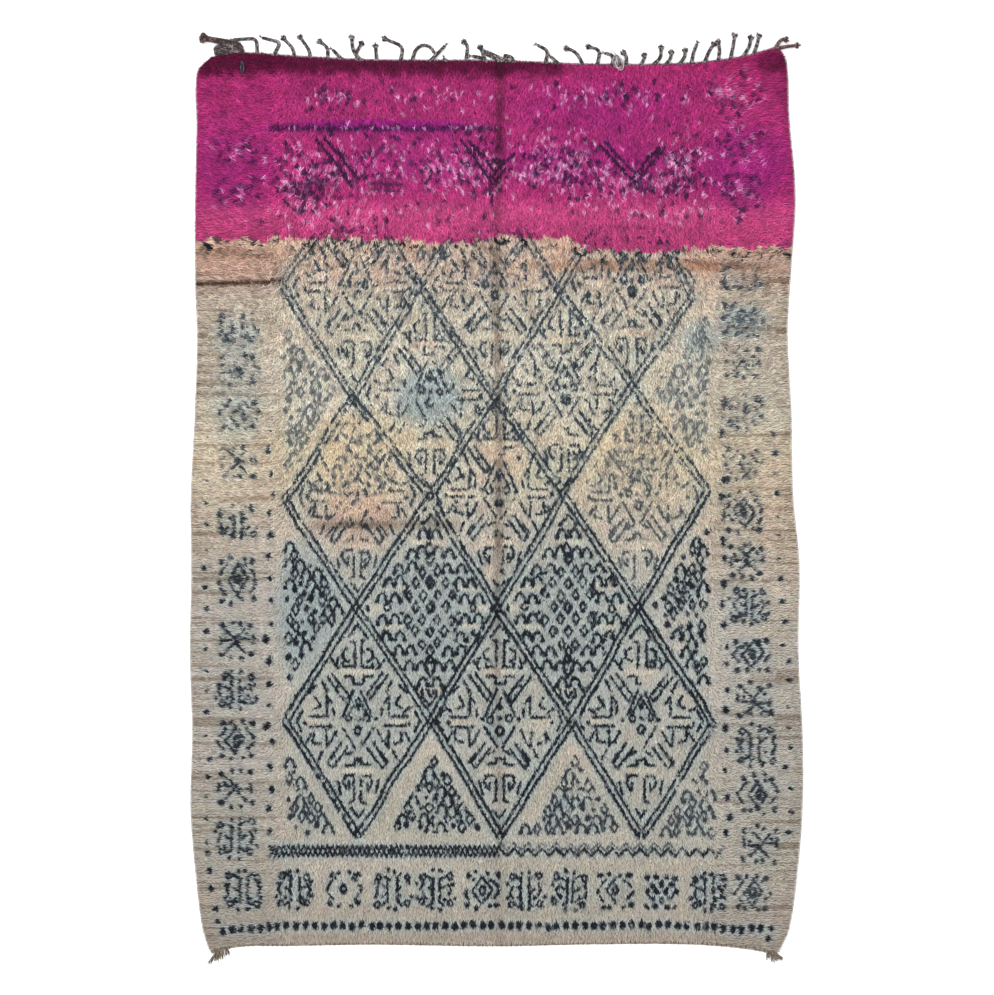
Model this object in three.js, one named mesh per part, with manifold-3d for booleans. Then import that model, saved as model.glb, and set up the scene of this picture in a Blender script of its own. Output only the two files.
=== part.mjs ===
// A knotted wool rug of the Middle Atlas, lying flat with its pile upwards. It is one woven piece, with a row of
// plaited warp ends along its top end, a thick plait at each top corner and a frayed tuft at each bottom corner.
// Millimetres. The origin is on the floor under the middle of the field, +X is to the right, +Y runs to the
// plaited end and +Z is up. Everything rests on the floor at Z = 0.
import * as THREE from "three";
import { mergeVertices } from "three/addons/utils/BufferGeometryUtils.js";
import Module from "manifold-3d";

const wasm = await Module();
wasm.setup();

// Driving sizes
const FIELD_WIDTH = 1900;
const FIELD_LENGTH = 2776;
const PILE_TOP = 14; // the flattened pile's mean height over the floor
const RIM_TOP = 7; // where the pile runs out at the long sides
const END_TOP = 10; // where the pile stops at the plaited end
const WEB_TOP = 3.2; // the bare weave at the bottom end
const WEB_DEPTH = 9; // how far that weave runs in from the bottom edge
const PILE_FRONT = 3; // the pile rises from the bare weave over this
const RIM_TAPER = 34; // the pile thins over this near a long side
const SIDE_LIP = 9; // the outermost strip of the taper
const PIECE_GAP = 0.3;
const BAR_TOP = 0.62; // a strand's width at its top, as a share of its width on the floor

// The outline: how far the long sides stand from the middle, down the length
const SIDES = [
  { fromTop: 0, left: -900, right: 882 },
  { fromTop: 45, left: -941, right: 908 },
  { fromTop: 220, left: -943, right: 917 },
  { fromTop: 460, left: -948, right: 936 },
  { fromTop: 700, left: -947, right: 921 },
  { fromTop: 880, left: -941, right: 911 },
  { fromTop: 1120, left: -949, right: 923 },
  { fromTop: 1370, left: -961, right: 928 },
  { fromTop: 1580, left: -959, right: 948 },
  { fromTop: 1850, left: -963, right: 945 },
  { fromTop: 2100, left: -956, right: 958 },
  { fromTop: 2330, left: -961, right: 958 },
  { fromTop: 2560, left: -942, right: 938 },
  { fromTop: 2700, left: -923, right: 915 },
  { fromTop: FIELD_LENGTH, left: -899, right: 880 },
];

// How far each end strays outwards from a straight one, across the width
const ENDS = [
  { across: -900, top: 16, bottom: 24 },
  { across: -810, top: 30, bottom: 3 },
  { across: -640, top: 20, bottom: 0 },
  { across: -400, top: 8, bottom: -4 },
  { across: 0, top: 5, bottom: 1 },
  { across: 300, top: -6, bottom: -5 },
  { across: 600, top: -3, bottom: -5 },
  { across: 770, top: 18, bottom: 8 },
  { across: 885, top: 50, bottom: 28 },
];

// Creases left by folding. One that runs across says where it starts and ends
const LENGTHWISE_FOLD = { depth: 3.2, halfWidth: 26 };
const CROSS_FOLDS = [
  { fromTop: 655, from: -980, to: 980, depth: 2.8, halfWidth: 24 },
  { fromTop: 1455, from: -760, to: 60, depth: 2.4, halfWidth: 28 },
  { fromTop: 2080, from: -980, to: 980, depth: 1.4, halfWidth: 30 },
];
const FOLD_END = 60; // a fold fades out over this
const FOLD_SHOULDER = 1.3; // where a fold starts, in half widths from its middle

// Soft lumps in the pile: height, and the distances over which they repeat
const LUMPS = [
  { height: 1.1, across: 610, along: 470, turn: 0.4 },
  { height: 0.9, across: 330, along: 390, turn: 2.1 },
  { height: 0.7, across: 240, along: 205, turn: 4.4 },
];

const FIELD_COLUMNS = 22;
const FIELD_ROWS = 30;

// Pile locks that stand out past the long sides
const RIM_LOCK = { perSide: 62, width: 15, height: 6.5, root: 16, reach: 9, tip: 3 };

// The plaited ends. A strand leaves the edge leaning by `lean` degrees to the right, and it turns by `turn` more
// between the shares `from` and `to` of its length
const PATH_STEPS = 8; // steps along a strand for each of its segments
const STRAND = { width: 8.5, height: 7, segments: 6, knotWidth: 17, knotHeight: 10, knotLength: 15 };
const EDGE_STRIP = { from: -794, to: 862, steps: 1, depth: 7, height: 4.5, clear: 1.5 };
const STRANDS = [
  { at: -754, long: 129, lean: 0, turn: -93, from: 0.22, to: 0.5, knot: false },
  { at: -702, long: 112, lean: 28, turn: -104, from: 0.28, to: 0.5, knot: false },
  { at: -638, long: 83, lean: 0, turn: -42, from: 0.05, to: 0.5, knot: true },
  { at: -587, long: 87, lean: -4, turn: -32, from: 0.05, to: 0.5, knot: true },
  { at: -532, long: 79, lean: 0, turn: -52, from: 0.3, to: 0.6, knot: true },
  { at: -484, long: 58, lean: -46, turn: 2, from: 0.2, to: 0.8, knot: false },
  { at: -440, long: 70, lean: -6, turn: 36, from: 0.2, to: 0.5, knot: true },
  { at: -424, long: 96, lean: -48, turn: 44, from: 0.1, to: 0.7, knot: true },
  { at: -378, long: 62, lean: -4, turn: -2, from: 0.2, to: 0.8, knot: true },
  { at: -304, long: 120, lean: 12, turn: -80, from: 0.2, to: 0.55, knot: true },
  { at: -267, long: 126, lean: 14, turn: 150, from: 0.1, to: 1, knot: false },
  { at: -211, long: 82, lean: 44, turn: 0, from: 0.2, to: 0.8, knot: false },
  { at: -158, long: 26, lean: -38, turn: 0, from: 0.2, to: 0.8, knot: false },
  { at: -98, long: 80, lean: 7, turn: -72, from: 0.45, to: 0.9, knot: true },
  { at: -38, long: 62, lean: -15, turn: -12, from: 0.3, to: 0.8, knot: true },
  { at: -30, long: 64, lean: -56, turn: -24, from: 0.1, to: 0.6, knot: false },
  { at: 14, long: 72, lean: -62, turn: -4, from: 0.3, to: 0.8, knot: false },
  { at: 40, long: 94, lean: -66, turn: 2, from: 0.3, to: 0.8, knot: false },
  { at: 52, long: 48, lean: -14, turn: -110, from: 0.05, to: 0.9, knot: true },
  { at: 151, long: 90, lean: 12, turn: -74, from: 0.3, to: 0.6, knot: false },
  { at: 195, long: 50, lean: -48, turn: 0, from: 0.2, to: 0.8, knot: false },
  { at: 270, long: 90, lean: -26, turn: -52, from: 0.2, to: 0.9, knot: true },
  { at: 314, long: 94, lean: 12, turn: -88, from: 0.3, to: 0.7, knot: true },
  { at: 361, long: 71, lean: 10, turn: -85, from: 0.25, to: 0.6, knot: false },
  { at: 405, long: 56, lean: 4, turn: -52, from: 0.3, to: 0.8, knot: true },
  { at: 449, long: 51, lean: 30, turn: -72, from: 0.4, to: 0.9, knot: true },
  { at: 487, long: 79, lean: 48, turn: -46, from: 0.25, to: 0.65, knot: true },
  { at: 528, long: 60, lean: 38, turn: -38, from: 0.3, to: 0.7, knot: true },
  { at: 570, long: 66, lean: 38, turn: -40, from: 0.3, to: 0.7, knot: true },
  { at: 609, long: 80, lean: 12, turn: 10, from: 0.3, to: 0.7, knot: false },
  { at: 650, long: 82, lean: 22, turn: 12, from: 0.3, to: 0.7, knot: true },
  { at: 694, long: 77, lean: 8, turn: -22, from: 0.3, to: 0.7, knot: true },
  { at: 732, long: 90, lean: 12, turn: -4, from: 0.3, to: 0.7, knot: true },
  { at: 769, long: 84, lean: 34, turn: -26, from: 0.3, to: 0.7, knot: true },
  { at: 804, long: 76, lean: 20, turn: -8, from: 0.3, to: 0.7, knot: true },
];

// The thick plait and its ball of loose wool at the top left corner
const LEFT_PLAIT = {
  at: -812,
  long: 140,
  lean: -28,
  turn: -56,
  from: 0,
  to: 0.3,
  knot: true,
  width: 14,
  height: 12,
  segments: 10,
  clear: 10,
  knotWidth: 18,
  knotHeight: 13,
  knotLength: 22,
};
const LEFT_WOOL = { from: -888, to: -816, steps: 5, depth: 31, height: 12 };

// The two plaits at the top right corner
const RIGHT_PLAITS = [
  { long: 62, lean: 34, turn: 100, from: 0.35, to: 1, knot: true },
  { long: 78, lean: 78, turn: 10, from: 0.2, to: 1, knot: true },
];
const RIGHT_ROOT = { from: 866, to: 880, steps: 1, depth: 10, height: 7 };

// The frayed tufts at the bottom corners: their locks fan out from a short root
const TUFT_LOCK = { width: 13, height: 6, tipWidth: 5, tipHeight: 1.5, segments: 3, turn: 12 };
const TUFT_ROOT = { depth: 10, height: 5.5 };
const CORNER_TUFTS = [
  {
    name: "corner_tuft_left",
    from: -888,
    to: -842,
    locks: [
      { at: -880, long: 46, lean: 194 },
      { at: -871, long: 30, lean: 186 },
      { at: -861, long: 28, lean: 178 },
      { at: -850, long: 24, lean: 168 },
    ],
  },
  {
    name: "corner_tuft_right",
    from: 844,
    to: 878,
    locks: [
      { at: 852, long: 24, lean: 182 },
      { at: 861, long: 29, lean: 168 },
      { at: 868, long: 32, lean: 152 },
      { at: 871, long: 31, lean: 134 },
    ],
  },
];

const COLOURS = {
  wool: new THREE.MeshStandardMaterial({ color: 0xc9bda6, roughness: 0.95, metalness: 0 }),
  plait: new THREE.MeshStandardMaterial({ color: 0x5a524c, roughness: 0.9, metalness: 0 }),
  goatHair: new THREE.MeshStandardMaterial({ color: 0x3d302c, roughness: 0.9, metalness: 0 }),
};

/** Reads a table smoothly between its rows. */
function readTable(rows, key, column, at) {
  const last = rows.length - 1;
  let i = 0;
  while (i < last - 1 && rows[i + 1][key] < at) i++;
  const [a, b] = [rows[i], rows[i + 1]];
  const slopeAt = (j) => {
    const [p, q] = [rows[Math.max(j - 1, 0)], rows[Math.min(j + 1, last)]];
    return (q[column] - p[column]) / (q[key] - p[key]);
  };
  const span = b[key] - a[key];
  const t = THREE.MathUtils.clamp((at - a[key]) / span, 0, 1);
  const ease = t * t * (3 - 2 * t);
  const leaving = (t ** 3 - 2 * t ** 2 + t) * span * slopeAt(i);
  const arriving = (t ** 3 - t ** 2) * span * slopeAt(i + 1);
  return a[column] + (b[column] - a[column]) * ease + leaving + arriving;
}

const fade = (t) => THREE.MathUtils.smoothstep(t, 0, 1);
const topEdge = (x) => FIELD_LENGTH / 2 + readTable(ENDS, "across", "top", x);
const bottomEdge = (x) => -FIELD_LENGTH / 2 - readTable(ENDS, "across", "bottom", x);

/** The place in the field at a share of its width from the left and a distance from the top end. */
function fieldPoint(share, fromTop) {
  const left = readTable(SIDES, "fromTop", "left", fromTop);
  const right = readTable(SIDES, "fromTop", "right", fromTop);
  const x = THREE.MathUtils.lerp(left, right, share);
  const y = THREE.MathUtils.lerp(topEdge(x), bottomEdge(x), fromTop / FIELD_LENGTH);
  return new THREE.Vector2(x, y);
}

/** How deep the folds press the pile down at a place. */
function foldDepth(share, x, fromTop) {
  const along = LENGTHWISE_FOLD;
  const middle = (share - 0.5) * FIELD_WIDTH;
  let depth = along.depth * Math.exp(-((middle / along.halfWidth) ** 2));
  for (const fold of CROSS_FOLDS) {
    const inside = fade((x - fold.from) / FOLD_END) * fade((fold.to - x) / FOLD_END);
    depth += fold.depth * inside * Math.exp(-(((fromTop - fold.fromTop) / fold.halfWidth) ** 2));
  }
  return depth;
}

/** The pile's height over the floor at a place in the field. */
function pileHeight(share, x, fromTop) {
  if (fromTop > FIELD_LENGTH - WEB_DEPTH - 0.01) return WEB_TOP;
  const fromSide = Math.min(share, 1 - share) * FIELD_WIDTH;
  const fromEnd = FIELD_LENGTH - WEB_DEPTH - fromTop;
  let height = PILE_TOP - foldDepth(share, x, fromTop);
  for (const lump of LUMPS) {
    const wave = Math.sin((x / lump.across) * 2 * Math.PI + lump.turn);
    height += lump.height * wave * Math.cos((fromTop / lump.along) * 2 * Math.PI - lump.turn);
  }
  const rim = THREE.MathUtils.lerp(RIM_TOP, height, fade(fromSide / RIM_TAPER));
  const bottom = THREE.MathUtils.lerp(END_TOP, rim, fade(fromEnd / RIM_TAPER));
  return THREE.MathUtils.lerp(Math.min(END_TOP, rim), bottom, fade(fromTop / RIM_TAPER));
}

/** Even stations along a length, with exact ones added where the shape needs them. */
function stations(count, length, extra) {
  const clear = length / count / 2.4;
  const even = Array.from({ length: count + 1 }, (_, i) => (i * length) / count);
  const isEnd = (s) => s === 0 || s === length;
  const kept = even.filter((s) => isEnd(s) || extra.every((e) => Math.abs(e - s) > clear));
  return [...kept, ...extra].sort((a, b) => a - b);
}

/** A closed solid from a geometry, joined only by its positions. */
function solidOf(geometry) {
  const bare = geometry.clone();
  bare.deleteAttribute("normal");
  bare.deleteAttribute("uv");
  const merged = mergeVertices(bare, 1e-3);
  return new wasm.Manifold(
    new wasm.Mesh({
      numProp: 3,
      vertProperties: merged.attributes.position.array,
      triVerts: new Uint32Array(merged.index.array),
    }),
  );
}

/** A named mesh of a solid. */
function meshOf(name, solid, material) {
  const made = solid.getMesh();
  const geometry = new THREE.BufferGeometry();
  geometry.setAttribute("position", new THREE.BufferAttribute(made.vertProperties, 3));
  geometry.setIndex(new THREE.BufferAttribute(made.triVerts, 1));
  geometry.computeVertexNormals();
  const mesh = new THREE.Mesh(geometry, material.clone());
  mesh.name = name;
  return mesh;
}

/** A box whose every vertex is moved to where `place` puts its share across, along and up. */
function shapedBox(across, along, place) {
  const box = new THREE.BoxGeometry(1, 1, 1, across, along, 1);
  const points = box.attributes.position;
  for (let i = 0; i < points.count; i++) {
    const at = place(points.getX(i) + 0.5, points.getY(i) + 0.5, points.getZ(i) + 0.5);
    points.setXYZ(i, at.x, at.y, at.z);
  }
  return box;
}

/** A bar that lies on the floor along a path, with its own width and height at each share of the way. */
function layBar(path, widthAt, heightAt, segments) {
  return shapedBox(1, segments, (side, way, up) => {
    const index = Math.round(way * segments);
    const here = path[index];
    const ahead = path[Math.min(index + 1, segments)];
    const behind = path[Math.max(index - 1, 0)];
    const run = new THREE.Vector2().subVectors(ahead, behind).normalize();
    const off = (side - 0.5) * widthAt(way) * (up > 0.5 ? BAR_TOP : 1);
    return { x: here.x + run.y * off, y: here.y - run.x * off, z: up * heightAt(way) };
  });
}

/** The points of a strand that leans, and then turns on one smooth bend. Headings are degrees right of +Y. */
function strandPath(start, strand, segments) {
  const points = [start.clone()];
  const steps = segments * PATH_STEPS;
  const step = strand.long / steps;
  const at = start.clone();
  for (let i = 0; i < steps; i++) {
    const bent = fade(((i + 0.5) / steps - strand.from) / (strand.to - strand.from));
    const heading = THREE.MathUtils.degToRad(strand.lean + strand.turn * bent);
    at.add(new THREE.Vector2(Math.sin(heading), Math.cos(heading)).multiplyScalar(step));
    if ((i + 1) % PATH_STEPS === 0) points.push(at.clone());
  }
  return points;
}

/** One plaited strand, with the knot at its end where it has one. */
function plaitedStrand(start, strand, size) {
  const path = strandPath(start, strand, size.segments);
  const swell = (way) => {
    if (!strand.knot) return way > 0.98 ? 0.6 : 1;
    const fromKnot = Math.abs((1 - way) * strand.long - size.knotLength) / size.knotLength;
    return fromKnot < 1 ? 1 + (size.knotWidth / size.width - 1) * (1 - fromKnot) : 1;
  };
  const rise = (way) => Math.min(size.height * swell(way), size.knotHeight);
  return layBar(path, (way) => size.width * swell(way), rise, size.segments);
}

const SHOULDERS = [-FOLD_SHOULDER, 0, FOLD_SHOULDER];

/** The stations across the field, in millimetres from its left side. */
function fieldColumns() {
  const fold = SHOULDERS.map((k) => FIELD_WIDTH / 2 + k * LENGTHWISE_FOLD.halfWidth);
  const lips = [SIDE_LIP, RIM_TAPER];
  return stations(FIELD_COLUMNS, FIELD_WIDTH, [...lips, ...fold, ...lips.map((l) => FIELD_WIDTH - l)]);
}

/** The stations down the field, in millimetres from its top end. */
function fieldRows() {
  const folds = CROSS_FOLDS.flatMap((f) => SHOULDERS.map((k) => f.fromTop + k * f.halfWidth));
  const front = FIELD_LENGTH - WEB_DEPTH;
  return stations(FIELD_ROWS, FIELD_LENGTH, [RIM_TAPER, front - RIM_TAPER, front - PILE_FRONT, front, ...folds]);
}

const COLUMNS = fieldColumns();
const ROWS = fieldRows();
const TOP_LINE = COLUMNS.map((column) => fieldPoint(column / FIELD_WIDTH, 0));
const BOTTOM_LINE = COLUMNS.map((column) => fieldPoint(column / FIELD_WIDTH, FIELD_LENGTH));

/** The Y of an edge line of the field at an X. */
function edgeY(line, x) {
  const i = Math.max(1, line.findIndex((point, j) => point.x > x || j === line.length - 1));
  const share = (x - line[i - 1].x) / (line[i].x - line[i - 1].x);
  return THREE.MathUtils.lerp(line[i - 1].y, line[i].y, share);
}

/** A strip that follows one end of the field a small gap away, outwards by +1 at the top and -1 at the bottom. */
function edgeStrip(line, outwards, { from, to, steps }, depthAt, heightAt) {
  const even = Array.from({ length: steps + 1 }, (_, i) => THREE.MathUtils.lerp(from, to, i / steps));
  const bends = line.map((point) => point.x).filter((x) => x > from + 1 && x < to - 1);
  const places = [...even, ...bends].sort((a, b) => a - b);
  return shapedBox(places.length - 1, 1, (across, along, up) => {
    const x = places[Math.round(across * (places.length - 1))];
    const share = (x - from) / (to - from);
    const out = outwards > 0 ? along : 1 - along;
    return { x, y: edgeY(line, x) + outwards * (PIECE_GAP + out * depthAt(share)), z: up * heightAt(share) };
  });
}

/** The one-piece rug: bare weave at its bottom end, pile everywhere else, and locks at its long sides. */
function rugField() {
  const body = shapedBox(COLUMNS.length - 1, ROWS.length - 1, (across, along, up) => {
    const share = COLUMNS[Math.round(across * (COLUMNS.length - 1))] / FIELD_WIDTH;
    const fromTop = ROWS[Math.round((1 - along) * (ROWS.length - 1))];
    const at = fieldPoint(share, fromTop);
    return { x: at.x, y: at.y, z: up * pileHeight(share, at.x, fromTop) };
  });
  let solid = solidOf(body);
  for (const side of [0, 1]) {
    for (let i = 0; i < RIM_LOCK.perSide; i++) solid = solid.add(solidOf(rimLock(side, i)));
  }
  return meshOf("rug_field", solid, COLOURS.wool);
}

/** One pile lock at a long side, 0 for the left and 1 for the right, lying outwards and down the nap. */
function rimLock(side, index) {
  const outwards = side ? 1 : -1;
  const stray = Math.sin(index * 12.9 + side * 4.1);
  const fromTop = 70 + ((index + 0.5 + 0.2 * stray) * (FIELD_LENGTH - 150)) / RIM_LOCK.perSide;
  const edge = fieldPoint(side, fromTop);
  const reach = RIM_LOCK.reach * (1 + 0.45 * Math.sin(index * 5.3 + side));
  const root = new THREE.Vector2(edge.x - outwards * RIM_LOCK.root, edge.y + 3);
  const tip = new THREE.Vector2(edge.x + outwards * reach, edge.y - 7 - 5 * stray);
  const taper = (way) => THREE.MathUtils.lerp(RIM_LOCK.width, RIM_LOCK.tip, way);
  const drop = (way) => THREE.MathUtils.lerp(RIM_LOCK.height, RIM_LOCK.tip / 2, way);
  return layBar([root, tip], taper, drop, 1);
}

/** The strip along the plaited end, with the plaited warp ends that stand in it. */
function topFringe() {
  const strip = edgeStrip(TOP_LINE, 1, EDGE_STRIP, () => EDGE_STRIP.depth, () => EDGE_STRIP.height);
  let solid = solidOf(strip);
  for (const strand of STRANDS) {
    const tilted = Math.abs(Math.sin(THREE.MathUtils.degToRad(strand.lean))) * (STRAND.width / 2);
    const start = new THREE.Vector2(strand.at, edgeY(TOP_LINE, strand.at) + PIECE_GAP + tilted + EDGE_STRIP.clear);
    solid = solid.add(solidOf(plaitedStrand(start, strand, STRAND)));
  }
  return meshOf("top_fringe", solid, COLOURS.plait);
}

/** The thick plait at the top left corner, which curls over a ball of loose wool. */
function leftPlait() {
  const start = new THREE.Vector2(LEFT_PLAIT.at, edgeY(TOP_LINE, LEFT_PLAIT.at) + PIECE_GAP + LEFT_PLAIT.clear);
  const round = (share) => Math.sin(Math.PI * THREE.MathUtils.clamp(share, 0.12, 0.88));
  const woolDepth = (share) => LEFT_WOOL.depth * (0.4 + 0.6 * round(share));
  const woolHeight = (share) => LEFT_WOOL.height * (0.3 + 0.7 * round(share));
  const wool = solidOf(edgeStrip(TOP_LINE, 1, LEFT_WOOL, woolDepth, woolHeight));
  const plait = solidOf(plaitedStrand(start, LEFT_PLAIT, LEFT_PLAIT));
  return meshOf("corner_plait_left", wool.add(plait), COLOURS.goatHair);
}

/** The two plaits at the top right corner, from one short root. */
function rightPlaits() {
  const middle = (RIGHT_ROOT.from + RIGHT_ROOT.to) / 2;
  const start = new THREE.Vector2(middle, edgeY(TOP_LINE, middle) + PIECE_GAP + RIGHT_ROOT.depth / 2);
  let solid = solidOf(edgeStrip(TOP_LINE, 1, RIGHT_ROOT, () => RIGHT_ROOT.depth, () => RIGHT_ROOT.height));
  for (const plait of RIGHT_PLAITS) solid = solid.add(solidOf(plaitedStrand(start, plait, STRAND)));
  return meshOf("corner_plait_right", solid, COLOURS.plait);
}

/** One frayed tuft at a bottom corner. */
function cornerTuft(tuft) {
  const root = { from: tuft.from, to: tuft.to, steps: 1 };
  let solid = solidOf(edgeStrip(BOTTOM_LINE, -1, root, () => TUFT_ROOT.depth, () => TUFT_ROOT.height));
  for (const lock of tuft.locks) {
    const start = new THREE.Vector2(lock.at, edgeY(BOTTOM_LINE, lock.at) - PIECE_GAP - TUFT_ROOT.depth * 0.6);
    const bend = { ...lock, turn: TUFT_LOCK.turn, from: 0, to: 1 };
    const path = strandPath(start, bend, TUFT_LOCK.segments);
    const taper = (way) => THREE.MathUtils.lerp(TUFT_LOCK.width, TUFT_LOCK.tipWidth, way);
    const drop = (way) => THREE.MathUtils.lerp(TUFT_LOCK.height, TUFT_LOCK.tipHeight, way);
    solid = solid.add(solidOf(layBar(path, taper, drop, TUFT_LOCK.segments)));
  }
  return meshOf(tuft.name, solid, COLOURS.goatHair);
}

const rug = new THREE.Group();
rug.add(rugField(), topFringe(), leftPlait(), rightPlaits(), ...CORNER_TUFTS.map(cornerTuft));

export default rug;
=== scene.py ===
"""The looks of a hand-knotted wool rug of the Middle Atlas, lying flat with its pile upwards.

The rug is charted on soft-edged rasters, as a weaver's design is, and then knotted lock by lock. A chart
unit is 3.14 mm. The chart's x runs to the right, its y runs down from the plaited end, and the middle of the
field is at (497, 504). All else is in metres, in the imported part's frame. Colours run from 0 to 255 up to
to_linear.
"""

from __future__ import annotations

import logging
import math
from dataclasses import dataclass, field
from enum import Enum

import bpy
import numpy as np
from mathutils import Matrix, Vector
from mathutils.bvhtree import BVHTree


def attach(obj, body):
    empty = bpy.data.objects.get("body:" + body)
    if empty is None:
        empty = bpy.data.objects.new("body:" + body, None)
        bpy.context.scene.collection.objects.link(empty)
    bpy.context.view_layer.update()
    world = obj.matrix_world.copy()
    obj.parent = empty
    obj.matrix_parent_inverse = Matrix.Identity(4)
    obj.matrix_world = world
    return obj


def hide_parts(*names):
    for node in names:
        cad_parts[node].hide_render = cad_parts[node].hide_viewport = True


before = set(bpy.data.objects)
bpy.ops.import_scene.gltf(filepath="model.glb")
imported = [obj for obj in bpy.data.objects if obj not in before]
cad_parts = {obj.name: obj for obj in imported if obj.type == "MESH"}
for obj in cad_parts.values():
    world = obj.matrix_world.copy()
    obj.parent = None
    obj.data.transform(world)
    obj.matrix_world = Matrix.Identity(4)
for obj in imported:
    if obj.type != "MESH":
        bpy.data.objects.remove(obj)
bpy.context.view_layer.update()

LOG = logging.getLogger("rug")
UNIT = 0.00314
CHART_MIDDLE = (497.0, 504.0)
BODY = "root"

Array = np.ndarray
Point = tuple[float, float]
Colour = tuple[float, float, float]
Oval = tuple[float, float, float, float]


def rug_x(x: Array | float) -> Array | float:
    """Chart x in metres."""
    return (x - CHART_MIDDLE[0]) * UNIT


def rug_y(y: Array | float) -> Array | float:
    """Chart y in metres."""
    return (CHART_MIDDLE[1] - y) * UNIT


def chart_x(x: Array | float) -> Array | float:
    """Metres across the rug as chart x."""
    return x / UNIT + CHART_MIDDLE[0]


def chart_y(y: Array | float) -> Array | float:
    """Metres along the rug as chart y."""
    return CHART_MIDDLE[1] - y / UNIT


def ease(t: Array | float) -> Array | float:
    """A smooth step from 0 to 1."""
    t = np.clip(t, 0.0, 1.0)
    return t * t * (3.0 - 2.0 * t)


def margins(across: Array) -> Array:
    """How far places with these chart x lie in the two plain margins, from 0 to 1."""
    return np.clip(ease((296 - across) / 40) + ease((across - 696) / 40), 0, 1)


def mix(base: Array, shade: Array | Yarn, amount: Array) -> Array:
    """Colours taken towards a shade by an amount from 0 to 1 for each."""
    shade = shade.rgb if isinstance(shade, Yarn) else shade
    return base * (1.0 - amount[..., None]) + shade * amount[..., None]


def ramp(at: Array, stops: tuple[tuple[float, Colour], ...]) -> Array:
    """Colours read between the stops of a table."""
    places = [place for place, _ in stops]
    return np.stack([np.interp(at, places, [colour[k] for _, colour in stops]) for k in range(3)], axis=-1)


def to_linear(colour: Array) -> Array:
    """Screen colours as linear light."""
    c = np.clip(np.asarray(colour, float) / 255.0, 0.0, 1.0)
    return np.where(c <= 0.04045, c / 12.92, ((c + 0.055) / 1.055) ** 2.4)


def soft_noise(shape: tuple[int, int], cell: float, seed: int) -> Array:
    """Smooth random values from 0 to 1.

    Args:
        shape: Rows and columns of the raster.
        cell: How many raster cells one random value spans.
        seed: The random seed.

    Returns:
        The raster.
    """
    rng = np.random.default_rng(seed)
    rows, columns = shape
    grid = rng.random((int(rows / cell) + 3, int(columns / cell) + 3))
    v, u = np.arange(rows) / cell, np.arange(columns) / cell
    i, j = v.astype(int), u.astype(int)
    p, q = ease(v - i)[:, None], ease(u - j)[None, :]
    upper = grid[i][:, j] * (1 - q) + grid[i][:, j + 1] * q
    lower = grid[i + 1][:, j] * (1 - q) + grid[i + 1][:, j + 1] * q
    return upper * (1 - p) + lower * p


def blurred(layer: Array, sigma: float) -> Array:
    """Softens a layer by a normal curve.

    Args:
        layer: The layer.
        sigma: The curve's spread in raster cells.

    Returns:
        The softened layer.
    """
    v = np.fft.fftfreq(layer.shape[0])[:, None]
    u = np.fft.rfftfreq(layer.shape[1])[None, :]
    curve = np.exp(-2.0 * (math.pi * sigma) ** 2 * (u * u + v * v))
    return np.fft.irfft2(np.fft.rfft2(layer) * curve, s=layer.shape)


class Yarn(Enum):
    """The dyed yarns as they look in daylight, and one painted crease shade."""

    NAVY = (24, 28, 38)
    BLACK = (22, 20, 26)
    SLATE = (70, 82, 92)
    TEAL = (128, 152, 164)
    HALO = (172, 182, 178)
    BLUE_GREY = (154, 168, 174)
    CREAM = (210, 202, 184)
    YELLOW = (206, 186, 158)
    PEACH = (204, 184, 166)
    PINK_BEIGE = (196, 166, 150)
    ORANGE_BROWN = (160, 122, 98)
    # Not a yarn: painted shade for the crease across the field.
    CREASE_SHADE = (104, 84, 74)
    PLUM = (94, 12, 56)
    PURPLE = (146, 30, 128)
    INK_PURPLE = (58, 20, 62)
    LILAC = (210, 180, 202)

    @property
    def rgb(self) -> Array:
        """The yarn's colour as an array."""
        return np.asarray(self.value)


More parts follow.
